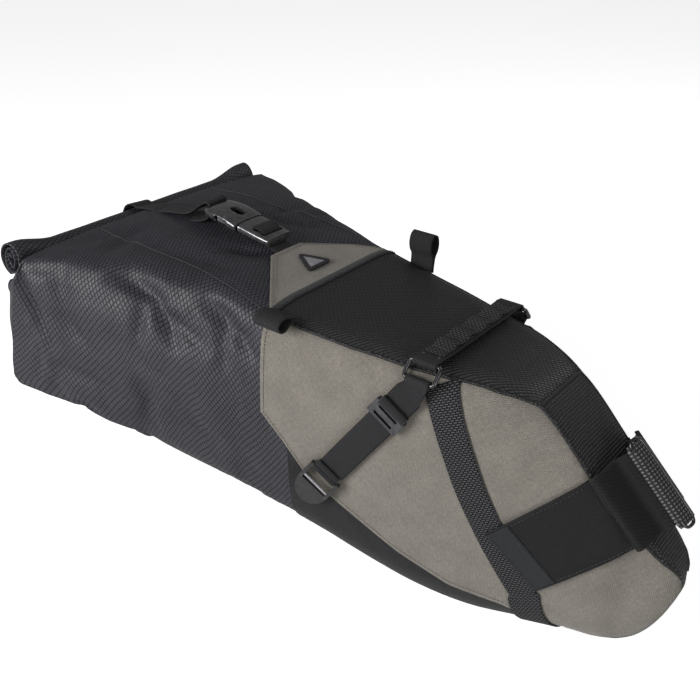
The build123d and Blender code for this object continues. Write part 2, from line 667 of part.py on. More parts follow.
# omega-shaped band: half circle in front of the post, legs back to the nose edges
with BuildPart() as seatpost_strap:
    with BuildSketch(post_plane.offset(-STRAP_H / 2)):
        Circle(strap_r)
        for side in (1, -1):
            with BuildLine():
                Polyline(*[(x, y * side) for x, y in LEG], close=True)
            make_face()
        Circle(POST_R, mode=Mode.SUBTRACT)
        # open the back of the circle
        with Locations((-23.2, 0)):
            Rectangle(40.0, 2 * (POST_R + 0.7), mode=Mode.SUBTRACT)
    extrude(amount=STRAP_H)
save(seatpost_strap.part, "seatpost_strap")

# ---------------------------------------------------------------- strap ends on the side panels
TAIL_REAR = -88.0        # rear end of the free end, measured off the nose face
TAIL_HALF = 27.5         # half height along the post
LABEL_HALF = 26.5
LABEL_GAP = 0.15
LABEL_T = 0.6
PATCH_T = 0.8


def on_side(outline):
    """Side view (x, z) of (distance off the nose face, distance down the post) points."""
    return [(POST_BASE[0] + DIAGONAL * (off + down), POST_BASE[1] + DIAGONAL * (off - down))
            for off, down in outline]


# free end on the right side panel: straight band square to the post
strap_tail = trimmed(
    shell(TAIL_OFF, STRAP_T),
    from_side(on_side(rectangle(TAIL_REAR, -TAIL_HALF, 0.0, TAIL_HALF)), -1),
    from_side(on_side(rectangle(-3, -60, 30, 60)), mode=Mode.SUBTRACT),
)
save(strap_tail, "strap_tail")

# label on the rear end of the free end
label_outline = rectangle(TAIL_REAR + 0.5, -LABEL_HALF, TAIL_REAR + 20, LABEL_HALF)
strap_label = trimmed(shell(TAIL_OFF + STRAP_T + LABEL_GAP, LABEL_T),
                      from_side(on_side(label_outline), -1))
save(strap_label, "strap_label")

# loop patch under the free end
PATCH_OUTLINE = [(-52, -24), (-16, -24), (-16, 24), (-44, 24)]
save(trimmed(shell(WEB_OFF, PATCH_T), from_side(on_side(PATCH_OUTLINE), -1)), "loop_patch")

# sewn end of the strap on the left side panel
anchor_outline = rectangle(-34, -TAIL_HALF, -4, TAIL_HALF)
save(trimmed(web_shell, from_side(on_side(anchor_outline), 1)), "strap_anchor")

# ---------------------------------------------------------------- pad and ring on the loop
PAD_START, PAD_END = -52, 22         # degrees round the post, 0 straight off the nose face
PAD_HALF = 31.0                      # half height
RING_HALF = 33.6                     # half height of the ring, to the middle of the wire
right_bar = (strap_r + 2.7, -15)     # radius, degrees; this bar runs through the pad
left_bar = (strap_r + 3.0, 38)
pad_in_r, pad_out_r = strap_r + 0.15, strap_r + 5.0


def polar(radius, degrees):
    angle = math.radians(degrees)
    return radius * math.cos(angle), radius * math.sin(angle)


def post_point(radius, degrees):
    """Point round the post, at the middle of the strap's height."""
    x, y = polar(radius, degrees)
    return post_plane.origin + post_plane.x_dir * x + post_plane.y_dir * y


with BuildPart() as seatpost_pad:
    with BuildSketch(post_plane.offset(-PAD_HALF)):
        with BuildLine():
            CenterArc((0, 0), pad_in_r, PAD_START, PAD_END - PAD_START)
            CenterArc((0, 0), pad_out_r, PAD_START, PAD_END - PAD_START)
            for degrees in (PAD_START, PAD_END):
                Line(polar(pad_in_r, degrees), polar(pad_out_r, degrees))
        make_face()
        # hole for the right bar of the ring
        with Locations(polar(*right_bar)):
            Circle(1.75, mode=Mode.SUBTRACT)
    extrude(amount=2 * PAD_HALF)
save(seatpost_pad.part, "seatpost_pad")

with BuildPart() as seatpost_ring:
    right, left = post_point(*right_bar), post_point(*left_bar)
    rise = post_plane.z_dir * RING_HALF
    with BuildLine() as ring_path:
        FilletPolyline(right - rise, right + rise, left + rise, left - rise,
                       radius=2.2, close=True)
    with BuildSketch(Plane(origin=ring_path.line @ 0, z_dir=ring_path.line % 0)):
        Circle(1.6)
    sweep()
save(seatpost_ring.part, "seatpost_ring")
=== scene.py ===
"""Saddle bag with a rolled rear closure, hung by two rail straps and a seatpost strap.

The bag lies along X: the closure towards -X, the nose and seatpost strap towards +X. Its right
side is at -Y and Z is up. Sizes are in mm; finish_mesh turns them into metres.
"""
import bpy
import math
import numpy as np
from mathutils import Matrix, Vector, noise

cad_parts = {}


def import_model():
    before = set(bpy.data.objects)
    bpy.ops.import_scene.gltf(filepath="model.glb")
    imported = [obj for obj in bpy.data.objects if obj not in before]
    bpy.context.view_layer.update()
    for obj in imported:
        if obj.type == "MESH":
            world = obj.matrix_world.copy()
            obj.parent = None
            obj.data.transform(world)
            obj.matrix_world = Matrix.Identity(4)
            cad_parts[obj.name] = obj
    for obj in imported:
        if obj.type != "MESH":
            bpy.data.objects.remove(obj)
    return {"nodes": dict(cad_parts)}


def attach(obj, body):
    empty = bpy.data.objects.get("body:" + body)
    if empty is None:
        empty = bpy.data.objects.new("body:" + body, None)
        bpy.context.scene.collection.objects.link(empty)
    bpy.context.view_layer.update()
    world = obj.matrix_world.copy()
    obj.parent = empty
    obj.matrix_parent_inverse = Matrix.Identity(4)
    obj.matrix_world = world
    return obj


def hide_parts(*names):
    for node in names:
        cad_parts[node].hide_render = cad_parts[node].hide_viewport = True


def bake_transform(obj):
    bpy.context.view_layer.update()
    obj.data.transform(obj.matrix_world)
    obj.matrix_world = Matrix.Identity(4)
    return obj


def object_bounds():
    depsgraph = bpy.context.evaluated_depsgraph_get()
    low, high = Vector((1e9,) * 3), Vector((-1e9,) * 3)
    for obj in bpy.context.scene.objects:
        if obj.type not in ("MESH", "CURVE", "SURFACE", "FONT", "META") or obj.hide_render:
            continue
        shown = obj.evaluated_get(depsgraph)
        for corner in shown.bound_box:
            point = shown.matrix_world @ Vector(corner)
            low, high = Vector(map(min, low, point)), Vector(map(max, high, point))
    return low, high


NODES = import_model()["nodes"]
cad_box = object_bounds()
SCENE = bpy.context.scene
SIDES = ((1, "right"), (-1, "left"))

# ---------------------------------------------------------------- bag form
# Sections along the bag: x, top z, bottom z, half width at the top, middle and bottom
STATIONS = np.array([
    (-357.0, 25.0, -109.0, 153.0, 157.0, 158.0), (-315.0, 28.0, -119.0, 135.0, 141.0, 141.0),
    (-249.0, 29.5, -146.8, 111.0, 118.0, 115.0), (-183.0, 26.5, -167.2, 94.0, 101.0, 98.0),
    (-133.0, 19.0, -175.2, 83.0, 91.0, 88.0), (-83.0, 13.0, -184.5, 76.0, 84.0, 80.0),
    (-41.5, 9.5, -196.4, 69.0, 77.0, 72.0), (0.0, 5.5, -205.2, 60.0, 69.0, 64.0),
    (41.5, 1.5, -207.6, 49.0, 60.0, 54.0), (80.5, -12.0, -200.5, 36.0, 50.0, 45.0),
    (119.0, -48.0, -192.5, 31.0, 41.0, 36.5), (140.0, -69.0, -190.8, 29.0, 34.0, 30.0),
    (153.5, -83.0, -189.0, 23.0, 25.0, 21.5), (166.0, -95.5, -178.0, 18.0, 19.5, 16.0),
    (174.5, -104.5, -163.0, 14.5, 15.5, 12.5), (180.5, -112.0, -147.0, 10.5, 11.0, 9.5),
    (183.5, -119.5, -136.0, 6.5, 6.5, 6.0), (184.3, -124.5, -131.0, 3.0, 3.0, 3.0)])
STATION_X = STATIONS[:, 0]
REAR_X, TIP_X = STATION_X[0], STATION_X[-1]
NOSE_X = 150.0          # sections stand closer together beyond this

# Right half of a section from top to bottom: share of the half width, share of the half height
FORE_SECTION = np.array([
    (0, 1.0), (0.40, 1.0), (0.70, 0.995), (0.84, 0.975), (0.935, 0.93), (0.985, 0.82),
    (1.0, 0.60), (1.0, 0.40), (1.002, 0.10), (1.0, -0.20), (0.99, -0.60), (0.965, -0.76),
    (0.90, -0.87), (0.78, -0.95), (0.60, -0.985), (0.30, -1.0), (0, -1.0)])
REAR_SECTION = np.array([
    (0, 1.06), (0.40, 1.05), (0.70, 1.03), (0.86, 1.0), (0.945, 0.95), (0.985, 0.84),
    (1.0, 0.62), (1.0, 0.40), (1.002, 0.10), (1.0, -0.20), (0.998, -0.66), (0.992, -0.83),
    (0.965, -0.94), (0.90, -1.0), (0.66, -1.03), (0.33, -1.04), (0, -1.04)])
SECTION_SCALE = (80, 95)        # typical half width and half height, to space the knots

# Upper edge of the side panels: x, half width of the top between them
TOP_EDGE = np.array([
    (-131.0, 76.0), (-99.0, 72.5), (-60.0, 67.0), (-13.0, 58.0), (15.0, 51.0), (50.0, 40.5),
    (76.0, 29.5), (119.0, 29.0), (140.0, 26.5), (153.5, 22.0), (166.0, 17.5), (174.5, 15.0),
    (190.0, 13.0)])
# Lower edge of the side panels: x, z
LOW_EDGE = np.array([
    (-135.0, -62.0), (-111.0, -87.0), (-92.0, -110.0), (-60.0, -129.5), (-11.6, -158.0),
    (31.0, -176.0), (71.0, -180.0), (104.0, -190.0), (130.0, -198.0)])
BELLY_END_X = 104


def clip01(t):
    return np.clip(t, 0, 1)


def smooth(t):
    t = clip01(t)
    return t * t * (3 - 2 * t)


def stack(*parts):
    """Coordinates, broadcast together, as one array of points."""
    return np.stack(np.broadcast_arrays(*parts), -1)


def run_length(pts):
    return np.r_[0, np.cumsum(np.linalg.norm(np.diff(pts, axis=0), axis=1))]


def unit(vectors):
    return vectors / np.maximum(np.linalg.norm(vectors, axis=-1, keepdims=True), 1e-9)


def knot_slopes(at, values):
    """Slopes of a curve at its knots, and of the straight pieces between them."""
    step = np.diff(at)[:, None]
    rise = np.diff(values, axis=0) / step
    inner = (rise[:-1] * step[1:] + rise[1:] * step[:-1]) / (step[1:] + step[:-1])
    return np.concatenate([rise[:1], inner, rise[-1:]]), rise


def spline(at, values, slopes, where):
    """Cubic Hermite curve through the rows of values."""
    i = np.clip(np.searchsorted(at, where, side="right") - 1, 0, len(at) - 2)
    step = at[i + 1] - at[i]
    u = ((where - at[i]) / step)[..., None]
    step = step[..., None]
    return ((2 * u**3 - 3 * u**2 + 1) * values[i] + (u**3 - 2 * u**2 + u) * step * slopes[i]
            + (-2 * u**3 + 3 * u**2) * values[i + 1] + (u**3 - u**2) * step * slopes[i + 1])


def section_table(knots):
    """Width and height shares of a section at each SECTION_V."""
    at = np.r_[0, np.cumsum(np.hypot(*(np.diff(knots, axis=0) * SECTION_SCALE).T))]
    at /= at[-1]
    slopes, rise = knot_slopes(at, knots)
    # the height never overshoots its knots, and is level at both ends
    slopes[1:-1, 1][rise[:-1, 1] * rise[1:, 1] <= 0] = 0
    slopes[[0, -1], 1] = 0
    return spline(at, knots, slopes, SECTION_V).T


# v runs round a section: 0 at the top middle, 1 at the bottom middle, positive on the right
SECTION_V = np.linspace(0, 1, 801)
FORE_WIDTH, FORE_HEIGHT = section_table(FORE_SECTION)
REAR_WIDTH, REAR_HEIGHT = section_table(REAR_SECTION)
STATION_SLOPES = knot_slopes(STATION_X, STATIONS)[0]


def section_sizes(x):
    """Top z, bottom z and half widths at the top, middle and bottom."""
    x = np.clip(np.asarray(x, float), REAR_X, TIP_X)
    row = spline(STATION_X, STATIONS, STATION_SLOPES, x)
    return [row[..., k] for k in range(1, 6)]


def raw(x, v):
    """Point of the smooth bag surface."""
    x, v = np.broadcast_arrays(np.asarray(x, float), np.asarray(v, float))
    top_z, low_z, top_w, mid_w, low_w = section_sizes(x)
    turn = np.abs(v)
    rear = smooth((-170 - x) / 150)
    wide = (np.interp(turn, SECTION_V, FORE_WIDTH) * (1 - rear)
            + np.interp(turn, SECTION_V, REAR_WIDTH) * rear)
    high = (np.interp(turn, SECTION_V, FORE_HEIGHT) * (1 - rear)
            + np.interp(turn, SECTION_V, REAR_HEIGHT) * rear)
    half = mid_w + (np.where(high > 0, top_w, low_w) - mid_w) * np.minimum(high * high, 1)
    z = (top_z + low_z) / 2 + high * (top_z - low_z) / 2
    # the rear sections lean: back at the top, forward lower down
    back = clip01((-255 - x) / 102) ** 1.5
    depth = np.clip((20 - z) / 118, 0, 1.1)
    edge = 1 - 0.35 * clip01((-92 - z) / 20)
    x = x + back * (11.0 - 33.0 * depth * edge)
    return np.stack([x, -np.sign(v) * wide * half, z], -1)


def skin_normal(x, v):
    dx, dv = 1.5, 0.006
    along = raw(np.minimum(x + dx, TIP_X), v) - raw(np.maximum(x - dx, REAR_X), v)
    return unit(np.cross(raw(x, v + dv) - raw(x, v - dv), along))


def skin(x, v, lift):
    """Point this far outside the smooth bag surface."""
    return raw(x, v) + skin_normal(x, v) * np.asarray(lift, float)[..., None]


def v_at_z(x, z):
    top_z, low_z = section_sizes(x)[:2]
    high = np.clip((z - (top_z + low_z) / 2) / ((top_z - low_z) / 2), -1, 1)
    return np.interp(-high, -FORE_HEIGHT, SECTION_V)


def v_at_reach(x, reach, bottom=False):
    """v at this distance right of the middle, above or below the widest place."""
    x, reach = np.broadcast_arrays(np.asarray(x, float), np.asarray(reach, float))
    out = np.zeros(x.shape)
    upper = SECTION_V < 0.47
    turn = SECTION_V[~upper][::-1] if bottom else SECTION_V[upper]
    for at in np.ndindex(x.shape):
        half = np.maximum.accumulate(-raw(x[at], turn)[:, 1])
        v = np.interp(min(abs(reach[at]), half[-1] - 0.02), half, turn)
        out[at] = v if reach[at] >= 0 else -v
    return out


def top_edge(x):
    return np.minimum(np.interp(x, *TOP_EDGE.T), 0.9 * section_sizes(x)[3])


def under_edge(x):
    """Half width of the underside between the side panels towards the nose."""
    mid_w, low_w = section_sizes(x)[3:]
    share = np.where(x < BELLY_END_X, 1.0, 0.92)
    return np.minimum(np.interp(x, *TOP_EDGE.T) * share, 0.9 * np.minimum(low_w, mid_w))


def v_low(x):
    """v of the lower edge of the side panels."""
    fore = clip01((x - 88) / 30)
    v_fore = v_at_reach(x, under_edge(x), bottom=True)
    return v_at_z(x, np.interp(x, *LOW_EDGE.T)) * (1 - fore) + v_fore * fore


def side_place(origin, u_dir, w_dir, u, w):
    """Bag coordinates (x, v) of points u, w in a frame drawn on the side view (x, z)."""
    flat = origin + u_dir * np.asarray(u)[..., None] + w_dir * np.asarray(w)[..., None]
    return flat[..., 0], v_at_z(flat[..., 0], flat[..., 1])


# ---------------------------------------------------------------- node materials
class Signal:
    """Output of a shader node, with arithmetic that adds math nodes."""

    def __init__(self, shader, socket):
        self.shader, self.socket = shader, socket

    def op(self, kind, *others):
        node = self.shader.new("Math")
        node.operation = kind
        for i, value in enumerate((self,) + others):
            self.shader.put(node.inputs[i], value)
        return Signal(self.shader, node.outputs[0])

    def __add__(self, other):
        return self.op("ADD", other)

    def __sub__(self, other):
        return self.op("SUBTRACT", other)

    def __mul__(self, other):
        return self.op("MULTIPLY", other)

    def __rsub__(self, other):
        return self.op("MULTIPLY", -1.0).op("ADD", other)

    def sin(self):
        return self.op("SINE")

    def abs(self):
        return self.op("ABSOLUTE")

    def floor(self):
        return self.op("FLOOR")

    def frac(self):
        return self.op("FRACT")

    def pow(self, power):
        return self.op("POWER", power)

    def least(self, other):
        return self.op("MINIMUM", other)

    def ramp(self, start, end, low=0.0, high=1.0):
        """Smooth step from low at start to high at end."""
        node = self.shader.new("MapRange")
        node.interpolation_type = "SMOOTHSTEP"
        for i, value in enumerate((self, start, end, low, high)):
            self.shader.put(node.inputs[i], value)
        return Signal(self.shader, node.outputs[0])


class Shader:
    """Principled material; patterns are in mm."""

    def __init__(self, name):
        self.material = bpy.data.materials.new(name)
        self.material.use_nodes = True
        self.tree = self.material.node_tree
        self.tree.nodes.clear()
        out = self.new("OutputMaterial")
        self.bsdf = self.new("BsdfPrincipled")
        self.tree.links.new(self.bsdf.outputs[0], out.inputs["Surface"])
        self.bumped = None

    def new(self, kind):
        return self.tree.nodes.new("ShaderNode" + kind)

    def put(self, socket, value):
        if isinstance(value, Signal):
            self.tree.links.new(value.socket, socket)
        elif isinstance(value, tuple) and socket.type == "RGBA":
            socket.default_value = (*value, 1.0)
        else:
            socket.default_value = value

    def set(self, **values):
        for key, value in values.items():
            self.put(self.bsdf.inputs[key.replace("_", " ")], value)

    def vec(self, *parts):
        node = self.new("CombineXYZ")
        for i, value in enumerate(parts):
            self.put(node.inputs[i], value)
        return Signal(self, node.outputs[0])

    def split(self, vector):
        node = self.new("SeparateXYZ")
        self.put(node.inputs[0], vector)
        return [Signal(self, node.outputs[i]) for i in range(3)]

    def uv(self):
        """The UV vector and its two parts."""
        node = self.new("UVMap")
        node.uv_map = "UVMap"
        place = Signal(self, node.outputs[0])
        return place, *self.split(place)[:2]

    def object_mm(self):
        coords = self.new("TexCoord")
        node = self.new("VectorMath")
        node.operation = "SCALE"
        self.tree.links.new(coords.outputs["Object"], node.inputs[0])
        node.inputs["Scale"].default_value = 1000.0
        return Signal(self, node.outputs[0])

    def noise(self, vector, scale, detail=3.0):
        node = self.new("TexNoise")
        self.put(node.inputs["Vector"], vector)
        node.inputs["Scale"].default_value = scale
        node.inputs["Detail"].default_value = detail
        node.inputs["Roughness"].default_value = 0.55
        node.inputs["Distortion"].default_value = 0.0
        return Signal(self, node.outputs["Fac"])

    def voronoi(self, vector, scale, randomness):
        node = self.new("TexVoronoi")
        node.feature = "F1"
        self.put(node.inputs["Vector"], vector)
        node.inputs["Scale"].default_value = scale
        node.inputs["Randomness"].default_value = randomness
        return Signal(self, node.outputs["Distance"])

    def mix(self, share, dark, light):
        node = self.new("Mix")
        node.data_type = "RGBA"
        for i, value in ((0, share), (6, dark), (7, light)):
            self.put(node.inputs[i], value)
        return Signal(self, node.outputs[2])

    def bump(self, height, distance, strength=1.0):
        node = self.new("Bump")
        node.inputs["Strength"].default_value = strength
        node.inputs["Distance"].default_value = distance
        self.put(node.inputs["Height"], height)
        if self.bumped is not None:
            self.tree.links.new(self.bumped, node.inputs["Normal"])
        self.bumped = node.outputs[0]
        self.tree.links.new(self.bumped, self.bsdf.inputs["Normal"])


def plain_weave(u, v, pitch_u, pitch_v):
    """Height of threads crossing over and under in a chequer."""
    a, b = u * (1 / pitch_u), v * (1 / pitch_v)
    ridge_a, ridge_b = (a * math.pi).sin().abs(), (b * math.pi).sin().abs()
    check = ((a.floor() + b.floor()) * 0.5).frac() * 2.0
    return (check * ridge_a.pow(0.6) * (ridge_b * 0.5 + 0.5)
            + (1.0 - check) * ridge_b.pow(0.6) * (ridge_a * 0.5 + 0.5))


def weave_mat(name, dark, light, pitch, rough=0.86, sheen=0.25, mottling=0.5):
    s = Shader(name)
    place, u, v = s.uv()
    h = plain_weave(u, v, pitch, pitch)
    # uneven threads, stretched one way and the other
    slub_u = s.noise(s.vec(u * 0.25, v * 2.2), scale=1.0, detail=2.0)
    slub_v = s.noise(s.vec(u * 2.2, v * 0.25), scale=1.0, detail=2.0)
    patch = s.noise(place, scale=0.035)
    # brightness: weave, slubs, then broad patches
    tone = h * 0.55 + (slub_u + slub_v - 1.0) * 0.9 + (patch - 0.5) * mottling + 0.1
    s.set(Base_Color=s.mix(tone.ramp(0.0, 1.0), dark, light),
          Roughness=(1.0 - h) * 0.08 + rough, Sheen_Weight=sheen, Sheen_Roughness=0.5,
          Specular_IOR_Level=0.25)
    s.bump(h + (slub_u + slub_v) * 0.4, distance=0.00018)
    s.bump(s.noise(place, scale=0.06), distance=0.0012, strength=0.5)
    return s.material


def webbing_mat(name, kind, base, bright, rough=0.58):
    s = Shader(name)
    place, u, v = s.uv()
    selvedge = (9.4, 10.0)          # distance from the middle, mm
    if kind == "rib":
        h = plain_weave(u, v, 0.95, 1.35)
    elif kind == "chevron":         # rows of short staggered floats
        row_pitch, float_pitch = 1.75, 3.6
        row = (u * (1 / row_pitch)).floor()
        phase = v * (1 / float_pitch) + row * 0.5
        h = ((phase.frac() - 0.5).abs().ramp(0.48, 0.30)
             * ((u * (math.pi / row_pitch)).sin().abs()).pow(0.8))
    else:                           # twill: slanting ribs, broken up across
        selvedge = (27.0, 28.0)
        phase = u * (1 / 1.5) + v * (1 / 1.1)
        h = (((phase * math.pi).sin().abs()).pow(0.7)
             * ((v * (math.pi / 0.9)).sin().abs() * 0.3 + 0.7))
    edge = v.abs().ramp(*selvedge)
    coarse = s.noise(place, scale=0.7)
    fine = s.noise(place, scale=3.0, detail=2.0)
    # brightness: thread tops, then fine and coarse unevenness
    tone = (h.pow(3.0) * 0.95 + (fine - 0.5) * 0.5 + (coarse - 0.5) * 0.25).ramp(0.1, 1.0)
    s.set(Base_Color=s.mix(tone, (base, base, base * 1.15), (bright, bright, bright * 1.08)),
          Roughness=(1.0 - h) * 0.25 + rough, Sheen_Weight=0.03, Specular_IOR_Level=0.25)
    s.bump(h + fine * 0.4 + edge * 0.3, distance=0.00035)
    return s.material


def ripstop_mat(name):
    """Coated cloth with an embossed net of small upright diamonds."""
    s = Shader(name)
    place, u, v = s.uv()
    wobble = (s.noise(place, scale=0.05, detail=2.0) - 0.5) * 1.2
    a, b = (u + wobble) * (1 / 3.8), v * (1 / 6.2)      # diamond width and height
    rising = ((a + b).frac() - 0.5).abs() * 2.0
    falling = ((a - b).frac() - 0.5).abs() * 2.0
    h = rising.least(falling)       # 0 on the net, 1 in the diamonds
    net = h.ramp(0.34, 0.04)
    thread = plain_weave(u, v, 0.7, 0.7)
    big = s.noise(place, scale=0.018, detail=4.0)
    mid = s.noise(place, scale=0.09)
    # brightness: dark net, broad and middling patches, lighter diamond middles
    tone = (0.78 - net * 0.85 + (big - 0.5) * 0.7 + (mid - 0.5) * 0.45 + h * 0.12).ramp(0.0, 1.0)
    s.set(Base_Color=s.mix(tone, (0.0035, 0.0035, 0.006), (0.050, 0.049, 0.060)),
          Roughness=mid.ramp(0.3, 0.7, low=0.42, high=0.54) + net * 0.1,
          Coat_Weight=0.05, Coat_Roughness=0.4, Specular_IOR_Level=0.38)
    s.bump(net * -1.0 + thread * 0.12, distance=0.00028)
    s.bump(mid, distance=0.0016, strength=0.5)
    s.bump(big, distance=0.006, strength=0.5)
    return s.material


def grip_mat(name):
    """Embossed grip cloth with fine slanting ribs, broken into short glossy dashes."""
    s = Shader(name)
    place, u, v = s.uv()
    rib_pitch, dash_pitch = 2.3, 3.1
    across, along = (u - v) * 0.7071, (u + v) * 0.7071
    rib = (across * (math.pi / rib_pitch)).sin().abs()
    dash = (along * (math.pi / dash_pitch)).sin().abs().ramp(0.08, 0.5, low=0.35)
    h = rib.ramp(0.15, 0.95) * dash
    grain = s.noise(place, scale=0.8) - 0.5
    s.set(Base_Color=s.mix((h + grain * 0.5).ramp(0.2, 1.1),
                           (0.0035, 0.0035, 0.004), (0.028, 0.028, 0.03)),
          Roughness=h.ramp(0.2, 0.9, low=0.62, high=0.36) + grain * 0.1,
          Specular_IOR_Level=0.5)
    s.bump(h, distance=0.0006)
    return s.material


def dot_mat(name, pitch, randomness, top):
    """Embossed cloth with closely packed raised glossy dots."""
    s = Shader(name)
    place, u, v = s.uv()
    h = s.voronoi(s.vec(u, v), scale=1 / pitch, randomness=randomness).ramp(0.52, 0.1)
    grain = s.noise(place, scale=0.6) - 0.5
    s.set(Base_Color=s.mix((h + grain * 0.4).ramp(0.1, 1.0),
                           (0.003, 0.003, 0.0035), (top, top, top * 1.06)),
          Roughness=h.ramp(0.1, 0.9, low=0.6, high=0.34), Specular_IOR_Level=0.5)
    s.bump(h, distance=0.0006)
    return s.material


def plastic_mat(name, dark, light, rough, metallic=0.0, coat=0.3, scratch=0.5):
    """Moulded or metal part with fine grain and faint scratches."""
    s = Shader(name)
    place = s.object_mm()
    x, y, z = s.split(place)
    broad = s.noise(place, scale=0.25, detail=4.0)
    fine = s.noise(place, scale=4.0)
    line = s.noise(s.vec(x * 0.15 + z * 0.1, y * 3.0, (z - x) * 2.4), scale=1.0)
    s.set(Base_Color=s.mix((broad * 0.7 + fine * 0.3).ramp(0.3, 0.7), dark, light),
          Metallic=metallic,
          Roughness=(broad - 0.5) * 0.16 + (line - 0.5) * 0.2 * scratch + rough,
          Coat_Weight=coat, Coat_Roughness=0.12)
    s.bump(fine * 0.5 + line * scratch, distance=0.00006)
    return s.material


RIPSTOP = ripstop_mat("coated_ripstop")
OLIVE = weave_mat("olive_weave", (0.128, 0.115, 0.098), (0.285, 0.262, 0.228), pitch=1.05)
GRIP = grip_mat("ribbed_grip")
DOTS = dot_mat("dotted_grip", pitch=2.4, randomness=0.12, top=0.045)
PAD = dot_mat("pad_cloth", pitch=2.6, randomness=0.0, top=0.12)
# dotted cloth much lighter than the grip cloth: painted highlight and glints on the rounded seam
# piping
SEAM_HIGHLIGHT_DOTS = dot_mat("edge_dots_painted_highlight", pitch=1.9, randomness=0.7, top=0.16)
WEB = webbing_mat("webbing_rib", "rib", base=0.004, bright=0.062)
CHEVRON = webbing_mat("webbing_chevron", "chevron", base=0.0035, bright=0.085)
TWILL = webbing_mat("strap_twill", "twill", base=0.0025, bright=0.036, rough=0.7)
BASE = weave_mat("base_cloth", (0.005, 0.005, 0.006), (0.018, 0.018, 0.020), pitch=0.9,
                 rough=0.6, sheen=0.1)
BINDING = weave_mat("binding_tape", (0.006, 0.006, 0.007), (0.03, 0.03, 0.032), pitch=0.8,
                    rough=0.75, sheen=0.15)
OLIVE_THREAD = weave_mat("thread_olive", (0.10, 0.09, 0.075), (0.19, 0.17, 0.15), pitch=0.5,
                         rough=0.7)
BLACK_THREAD = weave_mat("thread_black", (0.012, 0.012, 0.013), (0.06, 0.06, 0.065), pitch=0.5,
                         rough=0.6)
PILE = weave_mat("loop_pile", (0.008, 0.008, 0.01), (0.035, 0.035, 0.038), pitch=0.6,
                 rough=0.95, sheen=0.5)
LABEL = weave_mat("label_cloth", (0.012, 0.0135, 0.0155), (0.024, 0.027, 0.031), pitch=0.5,
                  rough=0.55, sheen=0.05, mottling=0.25)
GLOSS = plastic_mat("gloss_black", (0.006, 0.006, 0.007), (0.014, 0.014, 0.016), rough=0.2,
                    coat=0.8, scratch=0.3)
HOOK = plastic_mat("hook_plastic", (0.010, 0.010, 0.011), (0.022, 0.022, 0.024), rough=0.3,
                   coat=0.5)
STEEL = plastic_mat("steel_bar", (0.55, 0.55, 0.57), (0.72, 0.72, 0.74), rough=0.22,
                    metallic=1.0, coat=0.0, scratch=1.0)
SLIDER = plastic_mat("slider_metal", (0.055, 0.055, 0.06), (0.12, 0.12, 0.13), rough=0.24,
                     metallic=0.9, coat=0.2, scratch=1.0)
BUCKLE = plastic_mat("buckle_dark", (0.07, 0.07, 0.074), (0.17, 0.17, 0.178), rough=0.17,
                     metallic=0.75, coat=0.8)
# lighter copy of the buckle plastic for the release prongs: painted highlight
PRONG_PAINTED_HIGHLIGHT = plastic_mat("prong_painted_highlight", (0.2, 0.2, 0.21), (0.36, 0.36, 0.38), rough=0.18,
                    metallic=0.8, coat=0.5)
BADGE = plastic_mat("badge_rubber", (0.012, 0.012, 0.013), (0.03, 0.03, 0.032), rough=0.5,
                    coat=0.0)
INSERT = plastic_mat("badge_insert", (0.20, 0.20, 0.22), (0.30, 0.30, 0.33), rough=0.42,
                     coat=0.1)
WELD = weave_mat("weld_line", (0.045, 0.044, 0.05), (0.10, 0.098, 0.11), pitch=0.6,
                 rough=0.5, sheen=0.0)
BOARD = plastic_mat("board", (0.02, 0.02, 0.02), (0.05, 0.05, 0.05), rough=0.6, coat=0.0)

# Pieces of the frame that keep their shape and only get a material
for node_name, material in (
        ("rail_ring_right", GLOSS), ("rail_ring_left", GLOSS), ("strap_hook_right", HOOK),
        ("strap_hook_left", HOOK), ("hook_bar_right", STEEL), ("hook_bar_left", STEEL),
        ("strap_slider_right", SLIDER), ("strap_slider_left", SLIDER),
        ("buckle_prong_right", PRONG_PAINTED_HIGHLIGHT), ("buckle_prong_left", PRONG_PAINTED_HIGHLIGHT), ("flap_badge", BADGE),
        ("nose_stiffener", BOARD), ("closure_stiffener", BOARD)):
    NODES[node_name].data.materials.clear()
    NODES[node_name].data.materials.append(material)


# ---------------------------------------------------------------- mesh helpers
def finish_mesh(name, points, faces, uv, mat, body="bag", repl=(), slot=None, sharp=0.7):
    """Object from points in mm; it rides on the body unless that is None."""
    mesh = bpy.data.meshes.new(name)
    mesh.from_pydata([tuple(p) for p in np.asarray(points, float) * 0.001], [], faces)
    mesh.update()
    if uv is not None:
        layer = mesh.uv_layers.new(name="UVMap")
        corner = np.zeros(len(mesh.loops), int)
        mesh.loops.foreach_get("vertex_index", corner)
        layer.data.foreach_set("uv", np.asarray(uv, float)[corner].ravel())
    mesh.shade_smooth()
    if sharp:
        mesh.set_sharp_from_angle(angle=sharp)
    obj = bpy.data.objects.new(name, mesh)
    SCENE.collection.objects.link(obj)
    mesh.materials.append(mat)
    if body:
        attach(obj, body)
    if repl:
        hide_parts(*repl)
    return obj


def grid_faces(rows, cols, flip=False, close_rows=False, close_cols=False, base=0):
    faces = []
    for i in range(rows if close_rows else rows - 1):
        for j in range(cols if close_cols else cols - 1):
            this, after = base + i * cols, base + (i + 1) % rows * cols
            k = (j + 1) % cols
            a, b, c, d = this + j, after + j, after + k, this + k
            faces.append((a, d, c, b) if flip else (a, b, c, d))
    return faces


def grid_normals(grid):
    return unit(np.cross(np.gradient(grid, axis=0), np.gradient(grid, axis=1)))


def normals_facing(grid, at, direction):
    """Grid normals, turned so that those picked by at face the direction."""
    normals = grid_normals(grid)
    return normals if normals[at].reshape(-1, 3).sum(0) @ direction > 0 else -normals


def grid_lengths(grid):
    """Length run along the rows and across the columns up to each point."""
    along, across = np.zeros(grid.shape[:2]), np.zeros(grid.shape[:2])
    along[1:] = np.cumsum(np.linalg.norm(np.diff(grid, axis=0), axis=-1), axis=0)
    across[:, 1:] = np.cumsum(np.linalg.norm(np.diff(grid, axis=1), axis=-1), axis=1)
    return along, across


